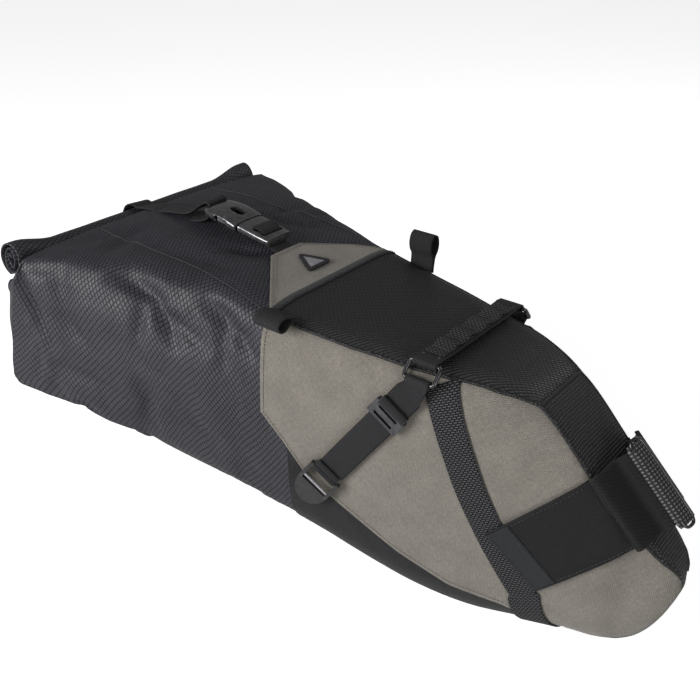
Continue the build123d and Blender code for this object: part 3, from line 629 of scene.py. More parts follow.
def slab(name, grid, thick, mat, body="bag", uv=None, normals=None, rim=0.4, sharp=0.9, **kw):
    """Closed sheet of cloth about its middle surface, with rounded edges all round."""
    rows, cols = grid.shape[:2]
    if normals is None:
        normals = grid_normals(grid)
    if uv is None:
        along, across = grid_lengths(grid)
        uv = stack(along.mean(1, keepdims=True), across - across[:, -1:] / 2)
    outer, inner = grid + normals * (thick / 2), grid - normals * (thick / 2)
    border = [(i, 0) for i in range(rows)] + [(rows - 1, j) for j in range(1, cols)]
    border += [(i, cols - 1) for i in range(rows - 2, -1, -1)]
    border += [(0, j) for j in range(cols - 2, 0, -1)]
    edge = []
    for i, j in border:
        inside = grid[min(max(i, 1), rows - 2), min(max(j, 1), cols - 2)]
        edge.append(grid[i, j] + unit(grid[i, j] - inside) * thick * rim)
    points = np.concatenate([outer.reshape(-1, 3), inner.reshape(-1, 3), np.array(edge)])
    n = rows * cols
    faces = grid_faces(rows, cols) + grid_faces(rows, cols, flip=True, base=n)
    for k, at in enumerate(border):
        m = (k + 1) % len(border)
        a, b = at[0] * cols + at[1], border[m][0] * cols + border[m][1]
        faces.append((b, a, 2 * n + k, 2 * n + m))
        faces.append((2 * n + m, 2 * n + k, n + a, n + b))
    flat = uv.reshape(-1, 2)
    edge_uv = np.array([uv[at] for at in border])
    return finish_mesh(name, points, faces, np.concatenate([flat, flat, edge_uv]), mat, body,
                       sharp=sharp, **kw)


def panel(name, x, v, lift, thick, mat, uv=None, flip=False, **kw):
    """Sheet laid on the bag at a grid of (x, v); flip turns the order of its columns."""
    order = slice(None, None, -1 if flip else 1)
    if uv is not None:
        uv = stack(*uv)[:, order]
    return slab(name, skin(x, v, lift)[:, order], thick, mat, uv=uv,
                normals=skin_normal(x, v)[:, order], **kw)


def curve(points, count, closed=False):
    """Catmull-Rom curve, its points evenly spaced along the knots."""
    pts = np.array(points, float)
    if closed:
        pts = np.vstack([pts, pts[:1]])
    at = run_length(pts)
    first, last = at[1], at[-1] - at[-2]
    if closed:
        before, after, lead, trail = pts[-2], pts[1], last, first
    else:
        before, after = 2 * pts[0] - pts[1], 2 * pts[-1] - pts[-2]
        lead, trail = first, last
    outer = np.vstack([before, pts, after])
    outer_at = np.r_[-lead, at, at[-1] + trail]
    slopes = (outer[2:] - outer[:-2]) / (outer_at[2:] - outer_at[:-2])[:, None]
    return spline(at, pts, slopes, np.linspace(0, at[-1], count, endpoint=not closed))


def resample(pts, at, where):
    return stack(*[np.interp(where, at, column) for column in pts.T])


def ribbon(name, line, across, width, thick, mat=WEB, body="bag", cols=9, slot="webbing", **kw):
    """Webbing of this width along a centreline, spread in the direction across."""
    line = np.asarray(line, float)
    across = unit(np.asarray(across, float) * np.ones((len(line), 1)))
    w = np.linspace(-width / 2, width / 2, cols)
    grid = line[:, None, :] + across[:, None, :] * w[None, :, None]
    return slab(name, grid, thick, mat, body, uv=stack(run_length(line)[:, None], w),
                slot=slot, **kw)


def tube_parts(line, radius, sides, closed=False):
    line = np.asarray(line, float)
    n = len(line)
    if closed:
        tangent = np.roll(line, -1, 0) - np.roll(line, 1, 0)
    else:
        tangent = np.gradient(line, axis=0)
    tangent = unit(tangent)
    first = unit(np.cross(tangent, (0.3, 0.2, 0.93)))
    second = np.cross(first, tangent)
    angle = np.arange(sides) / sides * 2 * math.pi
    radius = (np.asarray(radius, float) * np.ones(n))[:, None, None]
    points = line[:, None] + radius * (np.cos(angle)[None, :, None] * first[:, None]
                                       + np.sin(angle)[None, :, None] * second[:, None])
    faces = grid_faces(n, sides, close_rows=closed, close_cols=True)
    if not closed:
        faces += [tuple(range(sides))[::-1], tuple((n - 1) * sides + i for i in range(sides))]
    uv = stack(run_length(line)[:, None], angle * 2)
    return points.reshape(-1, 3), faces, uv.reshape(-1, 2)


def tube(name, line, radius, mat, sides=8, closed=False, **kw):
    return finish_mesh(name, *tube_parts(line, radius, sides, closed), mat, sharp=1.2, **kw)


# One stitch: place along it, height in thread diameters, share of the full thread radius
STITCH = np.array([(-0.5, -0.25, 0.45), (-0.32, 0.22, 0.95), (0, 0.38, 1.0),
                   (0.32, 0.22, 0.95), (0.5, -0.25, 0.45)])


def stitches(name, line, normals, mat, body="bag", pitch=3.2, length=2.3, radius=0.28, **kw):
    """Row of separate thread stitches; normals is the cloth's outward direction."""
    line = np.asarray(line, float)
    normals = np.asarray(normals, float) * np.ones((len(line), 1))
    at = run_length(line)
    count = max(1, int(at[-1] / pitch))
    points, faces, uvs = [], [], []
    for c in range(count):
        where = (c + 0.5) * at[-1] / count + STITCH[:, 0] * length
        lift = 0.15 + STITCH[:, 1:2] * radius * 2
        path = resample(line, at, where) + unit(resample(normals, at, where)) * lift
        part, part_faces, uv = tube_parts(path, STITCH[:, 2] * radius, sides=5)
        base = c * len(part)
        points.append(part)
        faces += [tuple(base + i for i in face) for face in part_faces]
        uvs.append(uv)
    return finish_mesh(name, np.concatenate(points), faces, np.concatenate(uvs), mat, body,
                       sharp=1.2, **kw)


def skin_stitches(name, x, v, lift, mat, **kw):
    stitches(name, skin(x, v, lift), skin_normal(x, v), mat, **kw)


def bridge(start, end, steps):
    """Rows easing from one row of points to another."""
    share = smooth(steps)[:, None, None]
    return start * (1 - share) + end * share


# ---------------------------------------------------------------- main bag
# Soft dents: start x and z (y for the top), end x and z (or y), width, depth (+ is outwards)
RIGHT_DENTS = (
    (-262, 24, -226, 8, 8, -9.5), (-228, 9, -206, -24, 6, -8), (-236, 4, -240, -30, 5, -5.5),
    (-214, -2, -188, -18, 5, -4.5), (-186, 18, -156, -6, 8, -8.5), (-158, -4, -132, -26, 6, -7),
    (-168, 0, -164, -34, 5, -5), (-150, -2, -134, -4, 5, -3.5), (-345, 10, -326, -50, 5, -6.5),
    (-300, 0, -150, -62, 26, 5), (-338, -70, -250, -98, 10, -4), (-312, 16, -300, -30, 9, -5.5),
    (-280, -100, -150, -120, 14, -4), (-262, -30, -196, -72, 9, -3.5),
    (-328, -10, -282, -46, 8, -3))
LEFT_DENTS = (
    (-270, 16, -225, -2, 8, -8), (-200, 12, -160, -14, 8, -8), (-340, 0, -318, -60, 6, -6),
    (-300, -10, -150, -70, 26, 5), (-300, -70, -240, -96, 10, -4.5), (-226, 0, -214, -40, 6, -5))
TOP_DENTS = (
    (-230, -34, -188, -12, 10, -4.5), (-330, 24, -252, 74, 12, -4.5),
    (-300, -74, -200, -54, 12, -3.8), (-240, 42, -190, 68, 10, -4),
    (-340, -112, -300, -24, 11, -3), (-312, -50, -286, -112, 9, -3.5), (-262, 24, -236, 92, 9, -3))
FREE_X = -128           # the bag shell is bare behind this, and under other cloth ahead of it


def groove(px, pz, ax, az, bx, bz, width, depth):
    dx, dz = float(bx - ax), float(bz - az)
    t = clip01(((px - ax) * dx + (pz - az) * dz) / (dx * dx + dz * dz))
    away = np.hypot(px - ax - t * dx, pz - az - t * dz)
    swell = 0.35 + 0.65 * np.sin(math.pi * clip01(t * 0.9 + 0.05))
    return depth * np.exp(-(away / width) ** 2) * swell


def dents(pts, v):
    x, y, z = pts[..., 0], pts[..., 1], pts[..., 2]
    total = 0
    for side_v, table in ((v, RIGHT_DENTS), (-v, LEFT_DENTS)):
        flank = clip01((side_v - 0.16) / 0.10) * clip01((0.72 - side_v) / 0.12)
        total = total + sum(groove(x, z, *row) for row in table) * flank
    top = clip01((0.24 - np.abs(v)) / 0.08)
    total = total + sum(groove(x, y, *row) for row in TOP_DENTS) * top
    return total * smooth(clip01((FREE_X - x) / 22) * clip01((x - REAR_X) / 8))


def two_runs(start, count, end, end_count, via=NOSE_X):
    """Stations from start to end, with a change of spacing on the way."""
    return np.r_[np.linspace(start, via, count), np.linspace(via, end, end_count)[1:]]


bag_x = np.r_[np.linspace(REAR_X, -130, 62), two_runs(-130, 40, TIP_X, 18)[1:]]
ROUND = 150             # points round a section
ring_v = np.linspace(-1, 1, ROUND + 1)[:-1]
X, V = np.meshgrid(bag_x, ring_v, indexing="ij")
bag_grid = raw(X, V)
bag_normals = skin_normal(X, V)
low_band = clip01((np.abs(V) - 0.62) / 0.10) * clip01((0.93 - np.abs(V)) / 0.06)
bag_grid = bag_grid + bag_normals * (
    np.where(X > FREE_X, -0.5, 0.0) + dents(bag_grid, V)
    - 1.2 * smooth(low_band) * clip01((FREE_X - X) / 30))[..., None]
girth = grid_lengths(bag_grid)[1]
girth = np.abs(girth - girth[:, ROUND // 2][:, None])

# the nose is closed by two shrinking rings and a point
last_ring = bag_grid[-1]
tip = last_ring.mean(0)
caps = [last_ring + (tip - last_ring) * k + np.array([0.8 * (1 - (1 - k) ** 2), 0, 0])
        for k in (0.4, 0.8)]
bag_points = np.concatenate([bag_grid.reshape(-1, 3), *caps, tip[None] + [0.9, 0, 0]])
bag_uv = np.concatenate([stack(X, girth).reshape(-1, 2),
                         *[stack(cap[:, 0] + 3, girth[-1]) for cap in caps], [[205.0, 0.0]]])
rows = len(bag_x)
bag_faces = grid_faces(rows, ROUND, close_cols=True)
end_ring, cap_1, cap_2 = (rows - 1) * ROUND, rows * ROUND, (rows + 1) * ROUND
for j in range(ROUND):
    k = (j + 1) % ROUND
    bag_faces += [(end_ring + j, cap_1 + j, cap_1 + k, end_ring + k),
                  (cap_1 + j, cap_2 + j, cap_2 + k, cap_1 + k),
                  (cap_2 + j, cap_2 + ROUND, cap_2 + k)]
bag = finish_mesh("bag_shell", bag_points, [face[::-1] for face in bag_faces], bag_uv, RIPSTOP,
                  repl=("main_bag_top", "main_bag_bottom", "main_bag_side_right",
                        "main_bag_side_left", "main_bag_rear", "main_bag_nose"),
                  slot="shell_fabric", sharp=None)


def mesh_points(mesh):
    flat = np.zeros(len(mesh.vertices) * 3)
    mesh.vertices.foreach_get("co", flat)
    return flat.reshape(-1, 3)


def cloth_settle(obj, pin, cap, outward, normals, frames=20):
    """Lets the cloth swell and buckle a little with the pinned points held; sizes in metres.

    cap limits every move, and outward limits the part of it along the normals.
    """
    rest = mesh_points(obj.data)
    group = obj.vertex_groups.new(name="pin")
    for i, weight in enumerate(pin):
        if weight > 0:
            group.add([int(i)], float(weight), "REPLACE")
    mod = obj.modifiers.new("settle", "CLOTH")
    cloth = mod.settings
    cloth.quality = 6
    cloth.mass = 0.15
    cloth.tension_stiffness = cloth.compression_stiffness = 25
    cloth.shear_stiffness = 10
    cloth.bending_stiffness = 1.2
    cloth.use_pressure = True
    cloth.uniform_pressure_force = 1.2
    cloth.shrink_min = -0.025
    cloth.vertex_group_mass = "pin"
    cloth.effector_weights.gravity = 0
    mod.collision_settings.use_collision = False
    mod.point_cache.frame_start, mod.point_cache.frame_end = 1, frames
    for frame in range(1, frames + 1):
        SCENE.frame_set(frame)
    evaluated = obj.evaluated_get(bpy.context.evaluated_depsgraph_get())
    move = mesh_points(evaluated.to_mesh()) - rest
    evaluated.to_mesh_clear()
    obj.modifiers.remove(mod)
    SCENE.frame_set(1)
    size = np.linalg.norm(move, axis=1, keepdims=True)
    limit = cap * np.tanh(size / cap) / np.maximum(size, 1e-9)
    move = move * limit * clip01(1 - np.asarray(pin)[:, None])
    # nothing swells into what is sewn or strapped on it
    out = (move * normals).sum(1)
    move -= normals * np.maximum(out - outward, 0)[:, None]
    obj.data.vertices.foreach_set("co", (rest + move).ravel())
    obj.data.update()


cap_count = 2 * ROUND + 1
px, py = bag_points[:, 0], bag_points[:, 1]
turn = np.abs(np.concatenate([V.reshape(-1), np.zeros(cap_count)]))
pin = 1 - smooth(clip01((FREE_X - px) / 25) * clip01((px - REAR_X) / 14))
pin = np.maximum(pin, (turn > 0.93) * 1.0)
free_side = smooth((turn - 0.20) / 0.10) * smooth((-150 - px) / 30)
free_top = smooth((np.abs(py) - 28) / 22) * smooth((-198 - px) / 22)
pin = np.maximum(pin, 1 - np.maximum(smooth((turn - 0.22) / 0.06), free_top))
all_normals = np.concatenate([bag_normals.reshape(-1, 3),
                              np.tile([[1.0, 0, 0]], (cap_count, 1))])
cloth_settle(bag, pin, cap=0.0065, outward=0.0002 + 0.0035 * free_side,
             normals=all_normals)

# Rear wall: the tube's cloth drawn up flat into the rolled closure
NECK_ROWS = 22
ring = bag_grid[0]
ring_y, ring_z = ring[:, 1], ring[:, 2]
turn = np.abs(ring_v)
flat_y = -np.sign(ring_v) * 146 * clip01(np.minimum(turn, 1 - turn) / 0.34) ** 0.92
flat_z = np.where(turn < 0.5, -0.8, -3.2)       # the two layers, 1.2 either side of z = -2
pull_1 = ring + np.array([-6.0, 0, 0]) * np.clip((60 + ring[:, 2:3]) / 60 + 0.35, 0.35, 1)
pull_2 = stack(-369.0 - 5.0 * smooth((-10 - ring_z) / 70), ring_y * 0.6 + flat_y * 0.4,
               ring_z * 0.55 + flat_z * 0.45)
t = np.linspace(0, 1, NECK_ROWS)[:, None, None]
neck_grid = ((1 - t) ** 3 * ring + 3 * (1 - t) ** 2 * t * pull_1
             + 3 * (1 - t) * t * t * pull_2 + t**3 * stack(-371.0, flat_y, flat_z))
y, z = neck_grid[..., 1], neck_grid[..., 2]
fold = np.sin(math.pi * t[..., 0]) * (1.6 * np.sin(y / 13 + 1.2 * np.sin(y / 31))
                                      + 1.1 * np.sin(z / 8 + y / 45))
neck_grid[..., 0] += np.clip(fold, -2.5, 2.5) * (turn > 0.35)
neck_uv = stack(np.abs(y) - neck_grid[..., 0], -z + 0.4 * neck_grid[..., 0])
neck = finish_mesh("closure_neck", neck_grid.reshape(-1, 3),
                   grid_faces(NECK_ROWS, ROUND, close_cols=True), neck_uv.reshape(-1, 2),
                   RIPSTOP, None, slot="shell_fabric", sharp=None)
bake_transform(neck)

# Rolled closure: cloth wound in a flattened spiral
ROLL_X, ROLL_Z = -376.5, 11.0
ROLL_TURNS = 2.6
wind = np.linspace(0, ROLL_TURNS * 2 * math.pi, 150)[:, None]
shrink = 1 - 0.70 * wind / wind[-1]
wind_angle = -wind + math.radians(250)
y = np.linspace(-142.5, 142.5, 60)
end = smooth((abs(y) - 126) / 15)
size = 1 + 0.012 * (0.5 * np.sin(y / 17.0) + 0.4 * np.sin(y / 7.3 + 1)) - 0.05 * end
roll_grid = stack(
    ROLL_X + 7.5 + 15.8 * shrink * np.cos(wind_angle) * size * 0.86,
    y + np.sign(y) * end * 1.2 * np.sin(wind * 1.3),
    ROLL_Z - 2.5 + 8.5 * smooth((abs(y) - 95) / 45)
    + 18.2 * shrink * np.sin(wind_angle) * size * 0.9 + 0.3 * np.sin(y / 40))
slab("rolled_closure", roll_grid, 1.5, RIPSTOP, "closure", repl=("roll_closure",),
     slot="shell_fabric", sharp=None)


# ---------------------------------------------------------------- sewn panels
def clustered(count, pull):
    """0 to 1, with the steps closer together at both ends."""
    t = np.linspace(0, 1, count)
    return t - pull * np.sin(2 * math.pi * t) / (2 * math.pi)


def edge_distance(grid, *edges):
    """Distance to the nearest of the named edges."""
    along, across = grid_lengths(grid)
    gaps = {"first_row": along, "last_row": along[-1:] - along,
            "first_col": across, "last_col": across[:, -1:] - across}
    return np.min([gaps[edge] for edge in edges], axis=0)


def hem(away):
    """A doubled edge: thicker near the edge, with a shallow dip under the stitching."""
    return 0.45 * (1 - smooth((away - 4.2) / 1.6)) - 0.25 * np.exp(-((away - 2.9) / 0.5) ** 2)


def undulate(grid, height, scale, seed):
    shift = Vector((seed, seed * 1.7, 0))
    return height * np.array([[noise.noise(Vector(p * scale) + shift) for p in row]
                              for row in grid])


def side_panel(side, tag):
    x = two_runs(-131.5, 96, TIP_X - 0.2, 35)
    v_top, v_bottom = v_at_reach(x, top_edge(x)), v_low(x)
    t = clustered(64, 0.5)
    v = (v_top[:, None] * (1 - t) + v_bottom[:, None] * t) * side
    base = raw(x[:, None], v)
    inside = edge_distance(base, "first_col", "last_col", "first_row")
    lift = (0.75 + hem(edge_distance(base, "first_row", "last_col")) * 0.8
            + undulate(base, 0.9, 0.02, 3.1 * side) * smooth(inside / 25)
            - 0.55 * np.exp(-(edge_distance(base, "first_col") / 1.6) ** 2))
    panel("side_panel_" + tag + "_cloth", x[:, None], v, lift, 1.0, OLIVE,
          uv=(x[:, None], -base[..., 2]), flip=side < 0, repl=("side_panel_" + tag,),
          slot="panel_fabric")

    # stitches down the rear edge and forward along the lower one
    sewn = x <= 118
    edge_x, edge_v = x[sewn], v_bottom[sewn]
    half = raw(edge_x[:, None], edge_v[:, None] * np.linspace(0, 1, 60))
    row_v = edge_v - 3.4 * edge_v / grid_lengths(half)[1][:, -1]
    down_v = np.linspace(v_top[1] + 0.01, row_v[0], 20)
    row_x = np.r_[np.full(20, -128.3), np.maximum(edge_x, -128.4)[1:]]
    skin_stitches("side_stitch_" + tag, row_x, np.r_[down_v, row_v[1:]] * side, 1.55,
                  OLIVE_THREAD, slot="panel_fabric")

    # piping along the seam with the grip and nose panels, in dotted cloth lightened as a painted
    # highlight on its rounded edge
    x = two_runs(-131, 90, TIP_X - 0.6, 40)
    tube("top_seam_" + tag, skin(x, v_at_reach(x, top_edge(x)) * side, 0.9), 1.35, SEAM_HIGHLIGHT_DOTS,
         slot="grip_fabric")


for side, tag in SIDES:
    side_panel(side, tag)

# Grip panel on the top
x = np.linspace(-131, 76, 90)[:, None]
v = v_at_reach(x, top_edge(x) * np.linspace(-1, 1, 70))
base = raw(x, v)
away = edge_distance(base, "first_row", "first_col", "last_col", "last_row")
lift = (0.9 + undulate(base, 1.0, 0.018, 7.7) * smooth(away / 22)
        - 0.5 * np.exp(-(away / 1.8) ** 2) + 0.5 * smooth(away / 18))
panel("grip_panel", x, v, lift, 1.0, GRIP, uv=(x, skin(x, v, lift)[..., 1]),
      repl=("top_panel",), slot="grip_fabric")

# Bound rear edge and front cross seam of the grip panel
rear_edge = skin(-131.0, v_at_reach(-131.0, np.linspace(-76, 76, 60)), 1.6)
ribbon("grip_rear_binding", rear_edge + [1.5, 0, 0], (1, 0, 0), 7.0, 1.0, BINDING, cols=5,
       slot="grip_fabric")
stitches("grip_rear_stitch", rear_edge + [3.2, 0, 0.65], (0, 0, 1), BLACK_THREAD,
         slot="grip_fabric")
reach = np.linspace(-29.5, 29.5, 24)
tube("nose_seam", skin(76.0, v_at_reach(76.0, reach), 1.0), 1.2, BINDING, slot="grip_fabric")
skin_stitches("nose_seam_stitch", 72.6, v_at_reach(72.6, reach), 1.7, BLACK_THREAD,
              slot="grip_fabric")

# Nose panel, from the top round the tip to the belly
upper_x = two_runs(76.5, 36, TIP_X - 0.1, 30)[:, None]
lower_x = two_runs(TIP_X - 0.1, 30, BELLY_END_X, 20)[:, None]
t = np.linspace(-1, 1, 34)
nose_grid = np.concatenate([
    skin(upper_x, v_at_reach(upper_x, t * top_edge(upper_x)), 0.9),
    skin(lower_x, v_at_reach(lower_x, t * under_edge(lower_x), bottom=True), 0.9)])
nose_normals = normals_facing(nose_grid, (10, 17), (0, 0, 1))
nose_normals[0] = nose_normals[1]
slab("nose_panel_cloth", nose_grid, 1.0, DOTS, normals=nose_normals, repl=("nose_panel",),
     slot="grip_fabric")

# Flap over the rear top, narrowing towards its rear edge
FLAP_REAR_X, FLAP_WIDE_X, FLAP_FRONT_X = -184, -131.6, -130.5
FLAP_REAR_HALF, FLAP_HALF = 17.5, 76.0
x = (FLAP_REAR_X + (FLAP_FRONT_X - FLAP_REAR_X) * clustered(40, 0.4))[:, None]
half = np.interp(x, [FLAP_REAR_X, FLAP_WIDE_X, FLAP_FRONT_X],
                 [FLAP_REAR_HALF, FLAP_HALF, FLAP_HALF])
t = np.linspace(-1, 1, 70)
reach = half * np.sign(t) * (np.abs(t) * 0.85 + 0.15 * (1 - (1 - np.abs(t)) ** 3))
v = v_at_reach(x, reach)
base = raw(x, v)
taper, taper_length = FLAP_HALF - FLAP_REAR_HALF, FLAP_WIDE_X - FLAP_REAR_X
slant_away = (((FLAP_HALF - np.abs(reach)) * taper_length - (FLAP_WIDE_X - x) * taper)
              / math.hypot(taper, taper_length))
away = np.minimum(edge_distance(base, "first_row"), slant_away)
lift = (0.8 + hem(away) + 0.35 * smooth(away / 30)
        + undulate(base, 0.7, 0.03, 5.5) * smooth(away / 14) * clip01(np.abs(reach) / 22 - 0.5))
panel("rear_flap_cloth", x, v, lift, 1.0, OLIVE, uv=(x, skin(x, v, lift)[..., 1]),
      repl=("rear_flap",), slot="panel_fabric")

half_row = [(-133, 71.41), (-181, 17.5), (-180.6, 15.5)]        # x, distance from the middle
corners = half_row + [(x, -reach) for x, reach in half_row[::-1]]
row = []
for (x1, r1), (x2, r2) in zip(corners, corners[1:]):
    count = max(2, int(math.hypot(x2 - x1, r2 - r1) / 2))
    row += [(x1 + (x2 - x1) * k / count, r1 + (r2 - r1) * k / count) for k in range(count)]
row_x, row_reach = np.array(row + [corners[-1]]).T
skin_stitches("flap_stitch", row_x, v_at_reach(row_x, row_reach), 1.95, OLIVE_THREAD,
              slot="panel_fabric")

# Belly panel, tucked a little under the side panels
x = np.linspace(-108, 103.2, 90)
low = v_low(x)[:, None]
t = np.linspace(0, 1, 60)
v = low - 0.006 + (2 - 2 * low + 0.012) * t
panel("belly_panel_cloth", x[:, None], np.where(v > 1, v - 2, v), 0.35, 0.6, BASE,
      uv=(x[:, None], t * 150), repl=("belly_panel",), slot="base_fabric")

# ---------------------------------------------------------------- belly strap
# One length down both sides and under the bag; centreline on the side as x, z
BELLY_LINE = np.array([(12.5, -4.0), (26.0, -38.0), (43.0, -77.0), (66.0, -122.0),
                       (88.0, -160.0)])
UNDER_X = 102           # where the strap crosses the bottom
at = run_length(BELLY_LINE)
line = resample(BELLY_LINE, at, np.linspace(0, at[-1], 60))
for _ in range(6):
    line[1:-1] = (line[:-2] + 2 * line[1:-1] + line[2:]) / 4
tangent = unit(np.gradient(line, axis=0))[:, None]
across = stack(-tangent[..., 1], tangent[..., 0])
on_side = skin(*side_place(line[:, None], tangent, across, 0.0, np.linspace(-11.2, 11.2, 9)),
               2.15)
end_x = on_side[-1][:, 0]
end_v = v_at_z(end_x, on_side[-1][:, 2])
mid_x = end_x.mean()
t = np.linspace(0, 1, 50)[1:, None]
under = skin(UNDER_X + (end_x - mid_x) * 1.18 - (UNDER_X - mid_x) * (1 - smooth(t * 1.6)),
             np.minimum(end_v + (1 - end_v) * t, 0.9999), 2.15)
half = np.concatenate([on_side, under])
strap_grid = np.concatenate([half, half[::-1][1:] * [1, -1, 1]])
slab("belly_strap_web", strap_grid, 1.4, CHEVRON,
     normals=normals_facing(strap_grid, len(strap_grid) // 2, (0, 0, -1)),
     repl=("belly_strap",), slot="webbing")

# ---------------------------------------------------------------- rail straps
RAIL_TOP, RAIL_END = np.array([-1.0, -6.0]), np.array([-68.5, -100.0])      # x, z
RAIL_LENGTH = float(np.linalg.norm(RAIL_END - RAIL_TOP))
RAIL_DIR = (RAIL_END - RAIL_TOP) / RAIL_LENGTH
RAIL_ACROSS = np.array([-RAIL_DIR[1], RAIL_DIR[0]])
RAIL_W = np.linspace(-10.75, 10.75, 9)
# lower and upper bars of the right ring, either side of its middle: y, z
RING_MIDDLE, RING_TO_BAR = np.array([-63.0, 4.6]), 7.0 * np.array([0.64, 0.768])
LOWER_BAR, UPPER_BAR = RING_MIDDLE - RING_TO_BAR, RING_MIDDLE + RING_TO_BAR
WRAP_RADIUS = 1.6 + 0.2 + 0.65      # bar radius, gap, half the webbing


def rail_place(side, down, w):
    x, v = side_place(RAIL_TOP, RAIL_DIR, RAIL_ACROSS, down[:, None], w)
    return x, v * side


def rail_strap(side, tag):
    # round the ring's lower bar, then down the panel
    down = np.linspace(11.0, RAIL_LENGTH - 7.0, 60)
    rise = 5.4 + np.exp(-((down - 11.0) / 9.0) ** 2)
    on_panel = skin(*rail_place(side, down, RAIL_W), rise[:, None])
    angle = np.radians(np.linspace(215, -40, 22))[:, None]
    loop = stack(np.linspace(-9.7, 9.7, 9),
                 (LOWER_BAR[0] - WRAP_RADIUS * np.cos(angle)) * side,
                 LOWER_BAR[1] + WRAP_RADIUS * np.sin(angle))
    lead = bridge(loop[-1], on_panel[0], np.linspace(0, 1, 8)[1:-1])
    grid = np.concatenate([loop, lead, on_panel])
    strap = slab("rail_strap_web_" + tag, grid, 1.3, WEB, None,
                 normals=normals_facing(grid, 40, (0, -side, 0)),
                 repl=("rail_strap_" + tag, "ring_strap_loop_" + tag), slot="webbing")
    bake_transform(strap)

    # second layer between slider and hook
    down = np.linspace(51.0, RAIL_LENGTH - 6.0, 40)
    panel("rail_strap_under_" + tag, *rail_place(side, down, RAIL_W * 0.99), 3.6, 1.2, WEB,
          slot="webbing")

    # fold of the strap on top of the slider: distance down the strap, lift
    down, lift = np.array([(22.4, 7.9), (23.8, 8.9), (25.6, 9.2), (27.6, 8.8), (29.4, 7.8)]).T
    panel("slider_fold_" + tag, *rail_place(side, down, RAIL_W * 1.04), lift[:, None], 2.4, WEB,
          body="slider_" + tag, slot="webbing")

    # end of the strap round the hook's top bar: places along the strap and out from the bag
    bar = np.array([RAIL_END[0], -88.8395 * side, RAIL_END[1]])
    along = np.array([-0.582321, -0.057315 * side, -0.810936])
    out = np.array([0.156834, -0.986694 * side, -0.042883])
    angles = np.radians(np.linspace(-70, 250, 24))[2:-2]
    path = np.vstack([[(-8.0, -1.7), (-4.5, -2.1)],
                      2.35 * stack(np.cos(angles), np.sin(angles)),
                      [(-4.5, 1.9), (-8.0, 0.2)]])
    line = bar + path[:, :1] * along + path[:, 1:] * out
    ribbon("hook_strap_end_" + tag, curve(line, 44), np.cross(out, along), 20.8, 1.2, cols=7,
           repl=("hook_strap_loop_" + tag,))


for side, tag in SIDES:
    rail_strap(side, tag)


def at_x(x, points):
    """Points given as (y, z), placed at this x."""
    return [(x, y, z) for y, z in points]


# Band across the top between the rings
angle = np.radians(np.linspace(-120, 90, 16))
path = np.vstack([stack(UPPER_BAR[0] - 2.4 * np.cos(angle), UPPER_BAR[1] + 2.4 * np.sin(angle)),
                  [(-52, 12.6), (-40, 12.0), (-20, 11.9), (0, 12.0)]])
path = np.vstack([path, path[::-1][1:] * [-1, 1]])
ribbon("rail_band_web", curve(at_x(0, path), 120), (1, 0, 0), 19.6, 1.3, repl=("rail_band",))
BAND_LOOPS = [(-50, 13.6), (-46, 13.9), (-40, 13.4), (-31, 15.6), (-22, 13.4), (-12, 15.9),
              (-1, 13.4), (10, 15.9), (21, 13.4), (31, 15.6), (40, 13.4), (47, 13.8)]   # y, z
ribbon("rail_band_loops", curve(at_x(0, BAND_LOOPS), 110), (1, 0, 0), 15.6, 1.2, CHEVRON, cols=7)
for k, y in enumerate((-40, -22, -1, 21, 40)):
    stitches("band_bartack_%d" % k, [(-7.0, y, 14.1), (7.0, y, 14.1)], (0, 0, 1), BLACK_THREAD,
             pitch=1.3, length=1.5, radius=0.35, slot="webbing")
for k, x in enumerate((-6.4, 6.4)):
    ribbon("band_grip_line_%d" % k, stack(x, np.linspace(-52, 52, 40), 13.1), (1, 0, 0),
           1.8, 1.0, BADGE, cols=3)

# ---------------------------------------------------------------- light loops
NEAR_LOOP = [(-74.5, 18.4), (-79.0, 19.6), (-84.0, 21.6), (-89.5, 21.8), (-93.8, 19.0),
             (-94.3, 14.8), (-91.0, 11.8), (-86.0, 11.9), (-82.6, 14.6), (-79.0, 17.2),
             (-74.5, 17.3)]     # y, z
FAR_LOOP = [(75.0, 7.0), (76.4, 14.0), (76.4, 21.0), (74.0, 25.0), (73.0, 31.0), (74.5, 37.0),
            (78.6, 40.0), (82.8, 37.5), (84.2, 31.5), (83.0, 25.5), (79.6, 20.5), (78.2, 14.0),
            (77.4, 7.0)]        # y, z
for name, points, x0, x1, tag in (("near", NEAR_LOOP, -131, -106, "right"),
                                  ("far", FAR_LOOP, -108, -86, "left")):
    ribbon("light_loop_" + name, curve(at_x((x0 + x1) / 2, points), 64), (1, 0, 0), x1 - x0,
           1.25, body="loop_" + tag, repl=("light_loop_" + tag,))


# ---------------------------------------------------------------- closure strap and buckle
def tilted_frame(origin_x, origin_z, cos, sin):
    """Placing function for a frame tilted nose down: u forwards, y across, w upwards."""
    def place(u, y, w):
        return np.array([origin_x + cos * u + sin * w, y, origin_z - sin * u + cos * w])
    return place


buckle_at = tilted_frame(-226, 41.5, 0.98769, 0.156434)         # 9 degrees
bar_x, _, bar_z = buckle_at(-37, 0, 0)
STRAP_BEND_X = -262     # the strap starts to twist behind this
path = [(bar_x + 0.4, bar_z + 5.0), (bar_x - 0.2, bar_z + 1.0), (bar_x - 1.0, bar_z - 5.0),
        (bar_x - 5.5, bar_z - 9.2), (-280, 34.6), (-300, 32.0), (-325, 30.4), (-342, 30.0)]
for angle in np.radians((66, 84, 100, 120, 140, 160, 180, 196)):
    path.append((ROLL_X + 7.0 + 15.6 * math.cos(angle), ROLL_Z - 2.0 + 18.6 * math.sin(angle)))
line = curve([(x, 0, z) for x, z in path], 110)
behind = STRAP_BEND_X - line[:, 0]
line[:, 1] = -2.0 * np.sin(clip01(behind / 100) * math.pi)
across = stack(0.0, 1.0, 0.10 * np.sin(clip01(behind / 95) * math.pi * 1.3))
ribbon("closure_strap", line, across, 20.6, 1.3, body="closure", repl=("roll_strap",))
